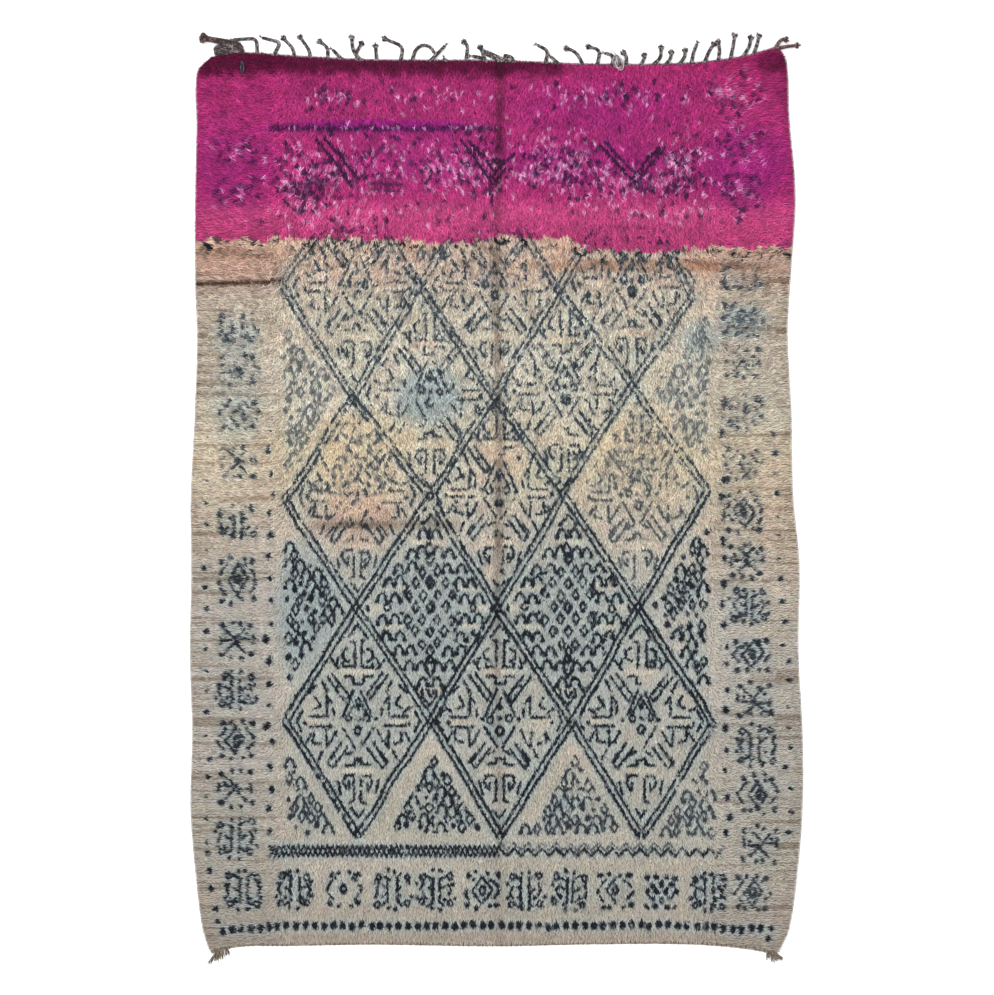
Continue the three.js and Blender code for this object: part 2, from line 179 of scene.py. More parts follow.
@dataclass
class Canvas:
    """A raster over the chart that takes soft-edged strokes and washes."""

    left: float = 176.0
    top: float = 50.0
    width: float = 644.0
    height: float = 908.0
    per_unit: float = 2.0

    def __post_init__(self) -> None:
        """Lays out the raster's cells."""
        self.shape = (int(self.height * self.per_unit), int(self.width * self.per_unit))
        across = self.left + (np.arange(self.shape[1]) + 0.5) / self.per_unit
        down = self.top + (np.arange(self.shape[0]) + 0.5) / self.per_unit
        self.x, self.y = np.meshgrid(across, down)

    def noise(self, cell: float, seed: int) -> Array:
        """Smooth random values over the canvas."""
        return soft_noise(self.shape, cell, seed)

    def window(self, x0: float, y0: float, x1: float, y1: float) -> tuple[slice, slice]:
        """Finds the part of the raster within a box of the chart.

        Args:
            x0: The box's left side.
            y0: Its upper side.
            x1: Its right side.
            y1: Its lower side.

        Returns:
            The rows and the columns.
        """
        c0, c1 = (max(int((x - self.left) * self.per_unit) + more, 0) for x, more in ((x0, 0), (x1, 2)))
        r0, r1 = (max(int((y - self.top) * self.per_unit) + more, 0) for y, more in ((y0, 0), (y1, 2)))
        return slice(r0, r1), slice(c0, c1)

    def stroke(self, layer: Array, points: list[Point], width: float, strength: float = 1.0) -> None:
        """Draws a line through points.

        Args:
            layer: The layer that takes it.
            points: Where it goes.
            width: Its width.
            strength: How fully it covers.
        """
        half, pad = width / 2.0, width / 2.0 + 1.0
        for (ax, ay), (bx, by) in zip(points, points[1:]):
            at = self.window(min(ax, bx) - pad, min(ay, by) - pad, max(ax, bx) + pad, max(ay, by) + pad)
            px, py = self.x[at] - ax, self.y[at] - ay
            dx, dy = bx - ax, by - ay
            along = np.clip((px * dx + py * dy) / max(dx * dx + dy * dy, 1e-9), 0.0, 1.0)
            away = np.hypot(px - along * dx, py - along * dy)
            layer[at] = np.maximum(layer[at], np.clip(half - away + 0.5, 0.0, 1.0) * strength)

    def blob(
        self,
        layer: Array,
        centre: Point,
        size: Point,
        strength: float = 1.0,
        turn: float = 0.0,
        ring: float = 0.0,
    ) -> None:
        """Draws an oval, filled or as a ring.

        Args:
            layer: The layer that takes it.
            centre: Its middle.
            size: Its half width and half height.
            strength: How fully it covers.
            turn: Its turn in radians.
            ring: The width of its line, or 0 where it is filled.
        """
        reach = max(size) + ring + 1.0
        at = self.window(centre[0] - reach, centre[1] - reach, centre[0] + reach, centre[1] + reach)
        px, py = self.x[at] - centre[0], self.y[at] - centre[1]
        u = (px * math.cos(turn) + py * math.sin(turn)) / size[0]
        v = (py * math.cos(turn) - px * math.sin(turn)) / size[1]
        away = (np.hypot(u, v) - 1.0) * min(size)
        cover = ring / 2.0 - np.abs(away) + 0.5 if ring else 0.5 - away
        layer[at] = np.maximum(layer[at], np.clip(cover, 0.0, 1.0) * strength)

    def wash(self, picture: Array, centre: Point, size: Point, yarn: Yarn, strength: float) -> None:
        """Tints the picture in a soft patch.

        Args:
            picture: The coloured raster.
            centre: The patch's middle.
            size: How far it reaches across and down, where it has faded out.
            yarn: Its colour.
            strength: How far the picture goes to that colour in the middle.
        """
        at = self.window(centre[0] - size[0], centre[1] - size[1], centre[0] + size[0], centre[1] + size[1])
        u, v = (self.x[at] - centre[0]) / size[0], (self.y[at] - centre[1]) / size[1]
        picture[at] = mix(picture[at], yarn, ease((1.0 - np.hypot(u, v)) * 1.6) * strength)


@dataclass(frozen=True)
class Motif:
    """A small charted repeat, given for its right side and mirrored to its left.

    Rings and dots are a place and two half sizes, and bars are two places.
    """

    lines: tuple[tuple[Point, ...], ...] = ()
    rings: tuple[Oval, ...] = ()
    dots: tuple[Oval, ...] = ()
    bars: tuple[Oval, ...] = ()
    lozenges: tuple[Point, ...] = ()


HOOKS = Motif(
    lines=(
        ((8, -81), (4, -80), (4, -55)), ((0, -96), (5, -90), (9, -84)), ((4, -54.5), (14, -54), (14, -58)),
        ((9, -60), (15, -63), (15, -70), (10, -73)), ((20, -63), (22, -54)),
        ((14, -45), (5, -45), (5, -37.5), (0, -37.5)), ((25, -47), (9, -26), (13, -20), (31, -45)),
        ((4, -31), (15, -6)), ((0, -24), (9, -8)), ((19, -52), (26, -61)), ((42, -35), (48, -28)),
        ((53, -14), (46, -9)), ((11, 33), (5, 30)), ((24, 31), (31, 40)), ((47, 12), (52, 20)),
        ((36, -40), (31, -29)), ((30, -6), (30, -25), (25, -18)), ((24, -13), (24, -6)),
        ((42, -25), (37, -16), (44, -13)), ((49, -4.5), (32, -4.5)), ((49, 5), (27, 5)),
        ((44, 10), (45, 20), (37, 22)), ((32, 9), (31, 25), (26, 19)), ((57, -10), (62, 0), (57, 10)),
        ((15, 6), (3, 26)), ((21, 10), (26, 20)), ((10, 27), (25, 47), (29, 42), (16, 22)),
        ((35, 30), (39, 38)),
        ((12, 44), (3.5, 43), (3.5, 38), (0, 38)), ((5, 55), (13, 55), (15, 62), (10, 70), (9, 62)),
        ((4, 58), (4, 80), (8, 82)), ((21, 60), (18, 72)), ((0, 96), (6, 88)),
    ),
    rings=((9, -3, 2.8, 3.4), (0, 9, 3, 4)),
    dots=((0, -15, 2.4, 3.2), (18, -2, 2, 2.6), (0, -3, 2, 2.2), (20, -35, 1.8, 2.2), (52, 2, 2, 2.4)),
    bars=((34, 0.3, 50, 0.3), (0, 49.5, 13, 49.5), (0, -49.5, 15, -49.5)),
)
RINGS = Motif(
    lines=(
        ((4.5, -87), (0, -92)), ((0, -50), (4, -58), (0, -65)), ((0, 70), (4, 62), (4, 52)),
        ((0, 98), (8, 89), (7, 82)), ((0, 90), (3, 84)), ((45, -22), (41, -29)), ((45, 23), (41, 30)),
        ((22, -22), (27, -15), (22, -8)), ((23, 8), (28, 15), (23, 22)),
    ),
    rings=((0, 52, 2.4, 3.4), (43, 0, 2.6, 3.6)),
    dots=(
        (8, -84, 2.4, 2.8), (61, 1, 2, 3), (14, 82, 2.2, 3), (29, -6, 2, 2), (29, 6, 2, 2), (0, -76, 2, 2.4),
    ),
    bars=((26, -20, 48, -20), (44, 0.5, 60, 0.5), (28, 19, 46, 19), (0, 83, 12, 83), (0, -65, 15, -65)),
    lozenges=(
        (0, -48), (7.5, -36), (0, -24), (15, -24), (7.5, -12), (0, 0), (15, 0),
        (7.5, 12), (0, 24), (15, 24), (7.5, 36), (0, 44), (22.5, -12), (22.5, 12),
    ),
)
ARCHES: tuple[Point, ...] = (
    (6, -74), (8, -57), (19, -55), (18, -40), (31, -39), (30, -27), (42, -26), (35, -10), (48, -10),
    (35, 11), (48, 11), (30, 29), (42, 28), (19, 43), (31, 42), (8, 58), (20, 57), (7, 74),
)
UPRIGHT_SQUARE = Motif(
    lines=(
        ((4, -12), (4, 12)), ((4, -12), (9, -15)), ((4, 12), (9, 15)), ((4, 0), (9, -3)),
        ((13, -6), (16, 0), (13, 6)),
    ),
    rings=((14, -14, 2.4, 2.8), (14, 14, 2.4, 2.8)),
    dots=((4, -19, 2, 2.2), (4, 19, 2, 2.2), (18, -7, 1.9, 2.2), (18, 7, 1.9, 2.2), (9.5, 8, 1.8, 2.2)),
)
RING_SQUARE = Motif(
    lines=(((0, -13), (9.5, 0), (0, 13)), ((12, -9), (16, -4)), ((12, 9), (16, 4))),
    rings=((0, 0, 2.6, 3.8),),
    dots=(
        (14, -15, 3, 3), (14, 15, 3, 3), (6, -17, 2, 2.4), (6, 17, 2, 2.4), (18, 0, 1.8, 2.6),
        (9, -11, 1.7, 2),
    ),
)
CROSS_SQUARE = Motif(
    lines=(((0, -3), (9, -12)), ((0, 3), (9, 12)), ((4, 0), (13, 0)), ((16, -4), (16, 4))),
    dots=(
        (14, -15, 2.9, 2.9), (14, 15, 2.9, 2.9), (4, -17, 2, 2.4), (4, 17, 2, 2.4), (0, 0, 2.2, 2.2),
        (11, -6, 1.7, 2),
    ),
)
DENSE_SQUARE = Motif(
    lines=(((9, -7), (4.5, 0)), ((9, 8), (15, 0))),
    dots=(
        (4.5, -15, 2.6, 3), (14, -14, 3, 3), (9, -7, 2.6, 3), (0, -7, 2.2, 3), (4.5, 0, 2.8, 3),
        (15, 0, 2.6, 3), (9, 8, 2.8, 3), (0, 8, 2.2, 3), (4.5, 15, 2.6, 3), (14, 15, 3, 3),
    ),
)

HOOKED = (
    (358, 722, 1.0), (500, 722, 1.0), (641, 722, 1.0), (499, 494, 1.0), (430, 395, 1.0), (565, 391, 1.0),
    (357, 288, 1.0), (495, 288, 1.0), (632, 284, 1.0), (638, 497, 0.68), (357, 497, 0.8),
)
NETS = (
    (((281, 503), (281, 713), (351, 608)), 1.0), (((712, 499), (712, 716), (645, 608)), 1.0),
    (((280, 294), (280, 496), (346, 396)), 0.56), (((712, 300), (712, 490), (643, 391)), 0.52),
    (((281, 738), (281, 838), (344, 838)), 0.8), (((431, 738), (372, 838), (490, 838)), 0.95),
    (((572, 740), (512, 838), (630, 838)), 0.8), (((713, 742), (652, 838), (716, 838)), 0.7),
    (((357, 418), (300, 496), (414, 494)), 0.55), (((640, 404), (582, 490), (696, 488)), 0.26),
    (((430, 250), (380, 262), (470, 262)), 0.8),
)
LEFT_SQUARES: tuple[Point, ...] = (
    (838, 1), (788, 1), (740, 1), (690, 1), (640, 1), (580, 1.3), (521, 0.9), (462, 0.9), (415, 0.8),
    (190, 0.7), (152, 0.7), (370, 0.8), (328, 0.8),
)
RIGHT_SQUARES: tuple[Point, ...] = (
    (844, 1), (793, 1.1), (745, 1.05), (700, 0.9), (655, 0.9), (606, 0.9), (560, 0.9), (512, 1.1),
    (188, 0.75), (146, 0.75), (465, 0.9), (412, 0.8), (362, 0.8), (320, 0.9), (278, 0.7),
)
END_SQUARES = (242, 294, 344, 392, 436, 482, 525.6, 570, 615.5, 661, 708.5, 753)
CORNER_DOTS: tuple[Point, ...] = (
    (207, 853), (209, 870), (211, 888), (215, 908), (217, 921), (772, 928), (769, 938),
)
WORN_SPANS = (
    ((357, 462), (64, 66), 0.3), ((640, 464), (66, 58), 0.22), ((357, 522), (56, 30), 0.26),
    ((714, 640), (22, 34), 0.14), ((580, 800), (40, 30), 0.2), ((690, 800), (30, 40), 0.2),
)
GROUND: tuple[tuple[float, Colour], ...] = (
    (60, (186, 162, 152)), (250, (194, 170, 154)), (278, (188, 169, 155)), (300, (192, 182, 167)),
    (400, (197, 190, 176)), (460, (199, 188, 167)), (520, (193, 182, 167)), (600, (188, 182, 172)),
    (720, (186, 180, 170)), (860, (184, 177, 165)), (948, (170, 160, 148)),
)
GROUND_WASHES = (
    ((235, 262), (60, 26), Yarn.PINK_BEIGE, 0.6), ((650, 267), (170, 9), Yarn.ORANGE_BROWN, 0.75),
    ((345, 262), (60, 22), Yarn.PEACH, 0.5), ((357, 462), (66, 74), Yarn.YELLOW, 0.8),
    ((430, 608), (60, 90), Yarn.TEAL, 0.3), ((306, 612), (44, 92), Yarn.TEAL, 0.42),
    ((568, 608), (60, 90), Yarn.TEAL, 0.2), ((358, 722), (50, 70), Yarn.TEAL, 0.16),
    ((330, 690), (44, 60), Yarn.YELLOW, 0.2), ((497, 452), (40, 50), Yarn.PEACH, 0.7),
    ((640, 452), (60, 60), Yarn.YELLOW, 0.6), ((357, 520), (62, 40), Yarn.PINK_BEIGE, 0.55),
    # The narrow wash at (357, 525) is painted shade in the crease there.
    ((357, 525), (40, 6), Yarn.CREASE_SHADE, 0.3), ((225, 470), (50, 90), Yarn.CREAM, 0.4),
    ((770, 560), (60, 130), Yarn.YELLOW, 0.22), ((430, 398), (50, 40), Yarn.TEAL, 0.5),
    ((700, 340), (32, 24), Yarn.TEAL, 0.32), ((744, 322), (36, 24), Yarn.TEAL, 0.35),
    ((235, 340), (34, 26), Yarn.HALO, 0.5), ((235, 400), (36, 60), Yarn.HALO, 0.35),
    ((690, 560), (44, 60), Yarn.PEACH, 0.35), ((500, 560), (26, 60), Yarn.PEACH, 0.35),
    ((670, 640), (30, 30), Yarn.PEACH, 0.4), ((690, 690), (26, 30), Yarn.PEACH, 0.4),
    ((435, 770), (30, 40), Yarn.PEACH, 0.3), ((575, 770), (30, 40), Yarn.PEACH, 0.35),
)
DYE: tuple[tuple[float, Colour], ...] = (
    (60, (152, 40, 100)), (80, (166, 50, 116)), (130, (168, 54, 120)), (196, (172, 56, 122)),
    (212, (184, 78, 132)), (245, (178, 70, 124)),
)
DYE_WASHES = (
    ((232, 165), (66, 62), Yarn.PURPLE, 0.3), ((745, 165), (66, 56), Yarn.PURPLE, 0.45),
    ((600, 110), (120, 40), Yarn.PURPLE, 0.3), ((380, 128), (150, 9), Yarn.PURPLE, 0.85),
    ((440, 160), (150, 40), Yarn.PURPLE, 0.25), ((600, 165), (110, 34), Yarn.PURPLE, 0.35),
    ((776, 62), (26, 16), Yarn.PLUM, 0.6),
)
DYE_EDGE = (
    (180, 300, 470, 500, 565, 585, 640, 700, 800),
    (240, 240, 243, 238, 239, 251, 253, 249, 247),
)
# Each patch of old knots has its middle, its spread, how many knots show, and the share of them that is dark.
FLECKS = (
    ((322, 176), (46, 36), 216, 0.62), ((300, 190), (30, 26), 108, 0.8), ((405, 172), (66, 34), 162, 0.45),
    ((470, 172), (40, 34), 144, 0.42), ((560, 168), (52, 34), 270, 0.45), ((632, 186), (60, 18), 144, 0.5),
    ((680, 168), (30, 34), 162, 0.62), ((738, 148), (24, 20), 39, 0.5), ((742, 190), (26, 18), 36, 0.5),
    ((234, 152), (20, 16), 21, 0.6), ((234, 192), (20, 16), 21, 0.5), ((330, 98), (26, 12), 43, 0.5),
    ((420, 98), (70, 12), 46, 0.5), ((610, 98), (90, 14), 79, 0.55), ((735, 96), (34, 20), 61, 0.6),
    ((350, 224), (90, 12), 39, 0.4), ((670, 214), (80, 10), 46, 0.5),
)
DYED_LINES = (
    (((316, 141), (335, 163), (352, 187)), 1.0), (((324, 139), (342, 160), (359, 181)), 1.0),
    (((354, 186), (368, 168), (381, 150)), 0.5), (((372, 185), (402, 187)), 0.75),
    (((372, 191), (400, 193)), 0.65), (((461, 143), (476, 161), (490, 180)), 1.0),
    (((469, 142), (482, 157), (495, 174)), 1.0), (((490, 181), (501, 168), (513, 156)), 1.0),
    (((494, 184), (505, 172)), 0.95), (((491, 178), (492, 206)), 0.85),
    (((600, 147), (615, 161), (631, 180)), 1.0), (((605, 144), (619, 158), (633, 173)), 0.95),
    (((632, 181), (646, 163), (659, 148)), 1.0), (((637, 183), (650, 167), (663, 151)), 0.9),
)


class Lattice:
    """The diamond lattice's crossings, row by row, and the double lines that join them."""

    ROWS: tuple[tuple[Point, ...], ...] = (
        ((318, 141), (383, 148), (460, 143), (515, 146), (598, 146), (662, 147)),
        ((354, 187), (491, 181), (630, 178)),
        ((281, 284), (420, 287), (558, 292), (692, 298)),
        ((353, 399), (494, 398), (632, 386)),
        ((285, 500), (430, 497), (563, 494), (707, 491)),
        ((356, 608), (497, 609), (638, 608)),
        ((286, 722), (431, 721), (572, 723), (713, 725)),
        ((358, 836), (500, 837), (641, 837)),
    )
    WIDTH = 2.7
    APART = 5.6
    NEAREST, FARTHEST = 18, 88
    STEP = 9
    SWAY = 0.8

    def sides(self) -> list[tuple[Point, Point]]:
        """Every side of the diamonds, from its upper to its lower end."""
        pairs = [(a, b) for upper, lower in zip(self.ROWS, self.ROWS[1:]) for a in upper for b in lower]
        return [(a, b) for a, b in pairs if self.NEAREST < abs(a[0] - b[0]) < self.FARTHEST]

    def draw(self, canvas: Canvas, ink: Array, rng: np.random.Generator) -> None:
        """Draws each side as two lines that waver a little.

        Args:
            canvas: The chart's canvas.
            ink: The dark layer.
            rng: The source of the wavering.
        """
        for (ax, ay), (bx, by) in self.sides():
            long = math.hypot(bx - ax, by - ay)
            nx, ny = -(by - ay) / long, (bx - ax) / long
            steps = max(int(long / self.STEP), 2)
            shares = np.linspace(0.0, 1.0, steps + 1)
            sways = rng.normal(0, self.SWAY, 5) * np.array([0, 1, 1, 1, 0])
            sway = np.interp(shares, np.linspace(0, 1, 5), sways)
            for side in (-0.5, 0.5):
                off = sway + side * self.APART + rng.normal(0, 0.3, steps + 1)
                run = zip(shares, off)
                points = [(ax + (bx - ax) * s + nx * o, ay + (by - ay) * s + ny * o) for s, o in run]
                worn = float(np.interp((ay + by) / 2, (340, 560), (0.74, 1.0)))
                canvas.stroke(ink, points, self.WIDTH * worn * rng.uniform(0.85, 1.15), 1.0)


@dataclass
class Design:
    """The rug's design, dye, wear and painted shade, charted from the lattice and a few repeats."""

    canvas: Canvas = field(default_factory=Canvas)
    seed: int = 41
    kept_lines: float = 0.94
    bar_width: float = 5.2
    bar_strength: float = 0.62
    ring_width: float = 2.3
    net_rim: float = 0.07
    pile_repeat: int = 26

    def __post_init__(self) -> None:
        """Draws the whole chart."""
        self.rng = np.random.default_rng(self.seed)
        self.ink, self.pale = (np.zeros(self.canvas.shape) for _ in range(2))
        self.draw_field()
        self.draw_margins()
        self.draw_ends()
        self.wear()
        self.tint_ground()
        self.lay_ink()
        self.lay_dye()
        self.paint_shade_and_streaks()

    def place(
        self, motif: Motif, x: float, y: float, size: Point = (1.0, 1.0), ink: float = 1.0, waver: float = 0.7
    ) -> None:
        """Draws one motif with the small irregularities of handwork.

        Args:
            motif: The motif.
            x: Its middle across.
            y: Its middle down.
            size: Its scale across and down.
            ink: How dark it still is.
            waver: How far its points stray.
        """
        c, rng = self.canvas, self.rng
        worn = float(np.interp(y, (400, 560), (0.8, 1.0)))
        ovals = [(ring, 0.85, 1.15, 1.1, self.ring_width) for ring in motif.rings]
        ovals += [(dot, 0.8, 1.2, 1.2, 0.0) for dot in motif.dots]
        for hand in (-size[0], size[0]):
            for line in motif.lines:
                stray = rng.normal(0, waver, 2)
                points = [
                    (x + hand * u + stray[0] + rng.normal(0, 0.35), y + v * size[1] + stray[1])
                    for u, v in line
                ]
                if rng.random() < self.kept_lines:
                    c.stroke(self.ink, points, rng.uniform(2.1, 3.0) * worn, ink)
            for (u, v, a, b), least, widest, tallest, ring in ovals:
                at = (x + hand * u + rng.normal(0, waver), y + v * size[1] + rng.normal(0, waver))
                half = (a * rng.uniform(least, widest), b * rng.uniform(least, tallest))
                c.blob(self.ink, at, half, ink, 0.0, ring)
            for u, v in motif.lozenges:
                self.lozenge(x + hand * u, y + v * size[1], ink, waver)
            for u0, v0, u1, v1 in motif.bars:
                ends = [(x + hand * u0, y + v0 * size[1]), (x + hand * u1, y + v1 * size[1])]
                c.stroke(self.pale, ends, self.bar_width, ink * self.bar_strength)

    def lozenge(self, x: float, y: float, ink: float, waver: float) -> None:
        """Draws one small upright diamond.

        Args:
            x: Its middle across.
            y: Its middle down.
            ink: How dark it still is.
            waver: How far it strays.
        """
        x, y = x + self.rng.normal(0, waver), y + self.rng.normal(0, waver)
        a, b = 3.6 * self.rng.uniform(0.85, 1.15), 5.8 * self.rng.uniform(0.85, 1.1)
        self.canvas.stroke(self.ink, [(x, y - b), (x + a, y), (x, y + b), (x - a, y), (x, y - b)], 2.1, ink)

    def arch(self, x: float, y: float, ink: float = 1.0) -> None:
        """Draws one small arch that stands on two blobs.

        Args:
            x: Its middle across.
            y: Its middle down.
            ink: How dark it still is.
        """
        x, y = x + self.rng.normal(0, 0.6), y + self.rng.normal(0, 0.6)
        points = [(x - 4.2, y + 3.5), (x - 3.4, y - 1), (x, y - 4), (x + 3.4, y - 1), (x + 4.2, y + 3.5)]
        self.canvas.stroke(self.ink, points, 2.7, ink)
        for foot in (-5.0, 5.0):
            self.canvas.blob(self.ink, (x + foot, y + 4.6), (2.4, 2.2), ink)

    def tick(self, x: float, y: float, size: Point, strength: float = 1.0) -> None:
        """Draws one small mark that has strayed a little from its place.

        Args:
            x: Its place across.
            y: Its place down.
            size: Its half width and half height.
            strength: How dark it is.
        """
        at = (x + self.rng.normal(0, 1.5), y + self.rng.normal(0, 2.0))
        spread = self.rng.uniform(0.6, 1.15)
        size = (size[0] * spread, size[1] * spread)
        self.canvas.blob(self.ink, at, size, strength, self.rng.uniform(-0.6, 0.6))

    def net(self, corners: tuple[Point, Point, Point], ink: float, pitch: Point = (11.0, 9.2)) -> None:
        """Fills a triangle of the chart with a net of small diamonds, arches and marks.

        Args:
            corners: The triangle's corners.
            ink: How dark they are.
            pitch: The distance between two across and down.
        """
        (ax, ay), (bx, by), (cx, cy) = corners
        area = (bx - ax) * (cy - ay) - (cx - ax) * (by - ay)
        for row, y in enumerate(np.arange(min(ay, by, cy) + 6, max(ay, by, cy), pitch[1]), 1):
            for x in np.arange(min(ax, bx, cx) + 3 + (row % 2) * pitch[0] / 2, max(ax, bx, cx), pitch[0]):
                u = ((x - ax) * (cy - ay) - (cx - ax) * (y - ay)) / area
                v = ((bx - ax) * (y - ay) - (x - ax) * (by - ay)) / area
                if min(u, v, 1 - u - v) < self.net_rim:
                    continue
                kind = self.rng.random()
                if kind < 0.42:
                    self.lozenge(x, y, ink, 0.9)
                elif kind < 0.66:
                    self.arch(x, y, ink)
                else:
                    self.tick(x, y, (3.0, 3.4), ink)

    def draw_field(self) -> None:
        """Draws the lattice, fills its diamonds and adds the zigzags below it."""
        Lattice().draw(self.canvas, self.ink, self.rng)
        for x, y, ink in HOOKED:
            self.place(HOOKS, x, y, (1.0 if ink == 1.0 else 0.95, 1.0), ink)
        for x, y in ((430, 608), (568, 608)):
            self.place(RINGS, x, y)
            for u, v in ARCHES:
                self.arch(x - u, y + v)
                self.arch(x + u, y + v)
        for corners, ink in NETS:
            self.net(corners, ink)
        fall = math.radians(57)
        for share in np.arange(14) / 13:
            self.canvas.blob(self.ink, (289 + 66 * share, 730 + 102 * share), (2.0, 1.6), 0.9, fall)
        zigzag = [(269 + i * 4.9, 851.5 + (5.4 if i % 2 else -5.4)) for i in range(48)]
        teeth = [(500 + i * 7.0, 852 + (4.5 if i % 2 else -3)) for i in range(33)]
        for points, width, strength in (
            (zigzag, 2.0, 1.0),
            ([(x, 1703 - y) for x, y in zigzag], 2.0, 1.0),
            (teeth, 2.6, 0.95),
            ([(x, y - 5.5) for x, y in teeth[:26]], 1.6, 0.6),
        ):
            self.canvas.stroke(self.ink, points, width, strength)

    def draw_margins(self) -> None:
        """Draws the columns of squares and dots along both sides."""
        squares = (UPRIGHT_SQUARE, CROSS_SQUARE, RING_SQUARE)
        for i, (y, tall) in enumerate(LEFT_SQUARES):
            self.place(squares[i % 3], 236 - (y - 600) * 0.004, y, (1.05, tall), 0.88, 1.2)
        for i, (y, tall) in enumerate(RIGHT_SQUARES, 1):
            x = np.interp(y, (278, 500, 720, 850), (742, 744, 756, 761))
            self.place(squares[i % 3], x, y, (1.05, tall), 0.82, 1.4)
        for y in np.arange(430, 850, 21.0):
            self.tick(269, y, (3.0, 4.0))
            self.tick(np.interp(y, (430, 700), (722, 727)), y + 6, (2.8, 3.8))
            self.tick(np.interp(y, (430, 700), (776, 789)), y + 2, (3.0, 2.4))
            self.tick(205, y + 10, (2.6, 2.0))

    def draw_ends(self) -> None:
        """Draws the row of squares and the dotted line at the bottom end."""
        kinds = (UPRIGHT_SQUARE, UPRIGHT_SQUARE, RING_SQUARE)
        for i, x in enumerate(END_SQUARES):
            kind = DENSE_SQUARE if i == 9 else kinds[i % 3]
            self.place(kind, x, 891 + (x - 500) * 0.006, (0.98, 0.98), 0.75 if i == 11 else 1.0, 0.9)
        for x in np.arange(222, 764, 9.3):
            y = 926.0 + 5.0 * max(0.0, (290 - x) / 70) ** 2 + 0.02 * max(0.0, x - 640)
            self.canvas.blob(self.ink, (x + self.rng.normal(0, 0.5), y + self.rng.normal(0, 0.7)), (3.3, 4.3))
        for at in CORNER_DOTS:
            self.canvas.blob(self.ink, at, (2.8, 3.2))

    def wear(self) -> None:
        """Breaks up the dark lines where the pile has faded and strayed."""
        c = self.canvas
        fine, coarse = c.noise(7.0, 5), c.noise(46.0, 6)
        ages = (60, 250, 300, 420, 480, 520, 600, 860), (0.5, 0.28, 0.18, 0.17, 0.2, 0.16, 0.1, 0.08)
        lost = np.interp(c.y, *ages) + (coarse - 0.5) * 0.36
        for (x, y), (a, b), amount in WORN_SPANS:
            lost = lost + ease((1.0 - np.hypot((c.x - x) / a, (c.y - y) / b)) * 2.0) * amount
        margin = ease((290 - c.x) / 14) + ease((c.x - 704) / 14)
        lost = lost + margin * ease((560 - c.y) / 120) * 0.2
        self.ink = self.ink * ease((fine - lost) * 3.2 + 0.5)
        self.halo = np.clip(blurred(self.ink, 9.0) * 2.5, 0.0, 1.0)

    def tint_ground(self) -> None:
        """Lays the undyed ground with its bled and yellowed patches."""
        self.picture = ramp(self.canvas.y, GROUND)
        self.picture += (self.canvas.noise(60.0, 11)[..., None] - 0.5) * np.array([10.0, 8.0, 10.0])
        for centre, size, yarn, strength in GROUND_WASHES:
            self.canvas.wash(self.picture, centre, size, yarn, strength)

    def lay_ink(self) -> None:
        """Bleeds the dark dye into the ground, then lays the pale bars and the dark lines on it."""
        c = self.canvas
        lower = ease((c.y - 470) / 130)
        bleed = self.halo * (0.5 + 0.3 * lower) * (0.7 + 0.6 * c.noise(26.0, 23))
        self.picture = mix(self.picture, mix(Yarn.HALO.rgb, Yarn.BLUE_GREY, 0.35 * lower), bleed)
        shade = np.where((c.noise(24.0, 22) > 0.6)[..., None], Yarn.PEACH.rgb, Yarn.CREAM.rgb)
        self.picture = mix(self.picture, shade, np.clip(self.pale * 0.8, 0, 1))
        faded = np.interp(c.y, (240, 460, 520, 640), (0.75, 0.6, 0.3, 0.08))
        dark = mix(Yarn.NAVY.rgb, Yarn.SLATE, np.clip(faded + (c.noise(15.0, 21) - 0.5) * 0.35, 0.0, 0.8))
        self.picture = mix(self.picture, dark, np.clip(self.ink * 1.05, 0.0, 1.0))

    def lay_dye(self) -> None:
        """Dyes the plaited end magenta, with its plum, purple and speckled patches."""
        c, rng = self.canvas, self.rng
        ragged = np.interp(c.x, *DYE_EDGE) + (c.noise(9.0, 31) - 0.5) * 9.0
        dye = ramp(c.y, DYE)
        dye += (c.noise(40.0, 33)[..., None] - 0.5) * np.array([22.0, 12.0, 16.0])
        top = ease((82 - c.y + (c.noise(12.0, 37) - 0.5) * 9) / 15)
        dye = mix(dye, Yarn.PLUM, top * ease((c.x - 190) / 10) * ease((570 - c.x) / 14))
        for centre, size, yarn, strength in DYE_WASHES:
            c.wash(dye, centre, size, yarn, strength)
        self.speckle(dye)
        for x in np.arange(272, 500, 5.2):
            c.wash(dye, (x, 130 + rng.normal(0, 0.7)), (3.6, 4.2), Yarn.INK_PURPLE, rng.uniform(0.55, 1.0))
            if rng.random() < 0.4:
                c.wash(dye, (x + 2, 129.5), (2.2, 2.0), Yarn.LILAC, 0.8)
        self.picture = mix(self.picture, dye, np.clip((ragged - c.y) * 1.5, 0.0, 1.0))
        below = np.exp(-(((c.y - ragged - 5) / 6.0) ** 2))
        self.picture = mix(self.picture, Yarn.BLACK, ease((c.noise(6.0, 35) - 0.66) * 9) * below)

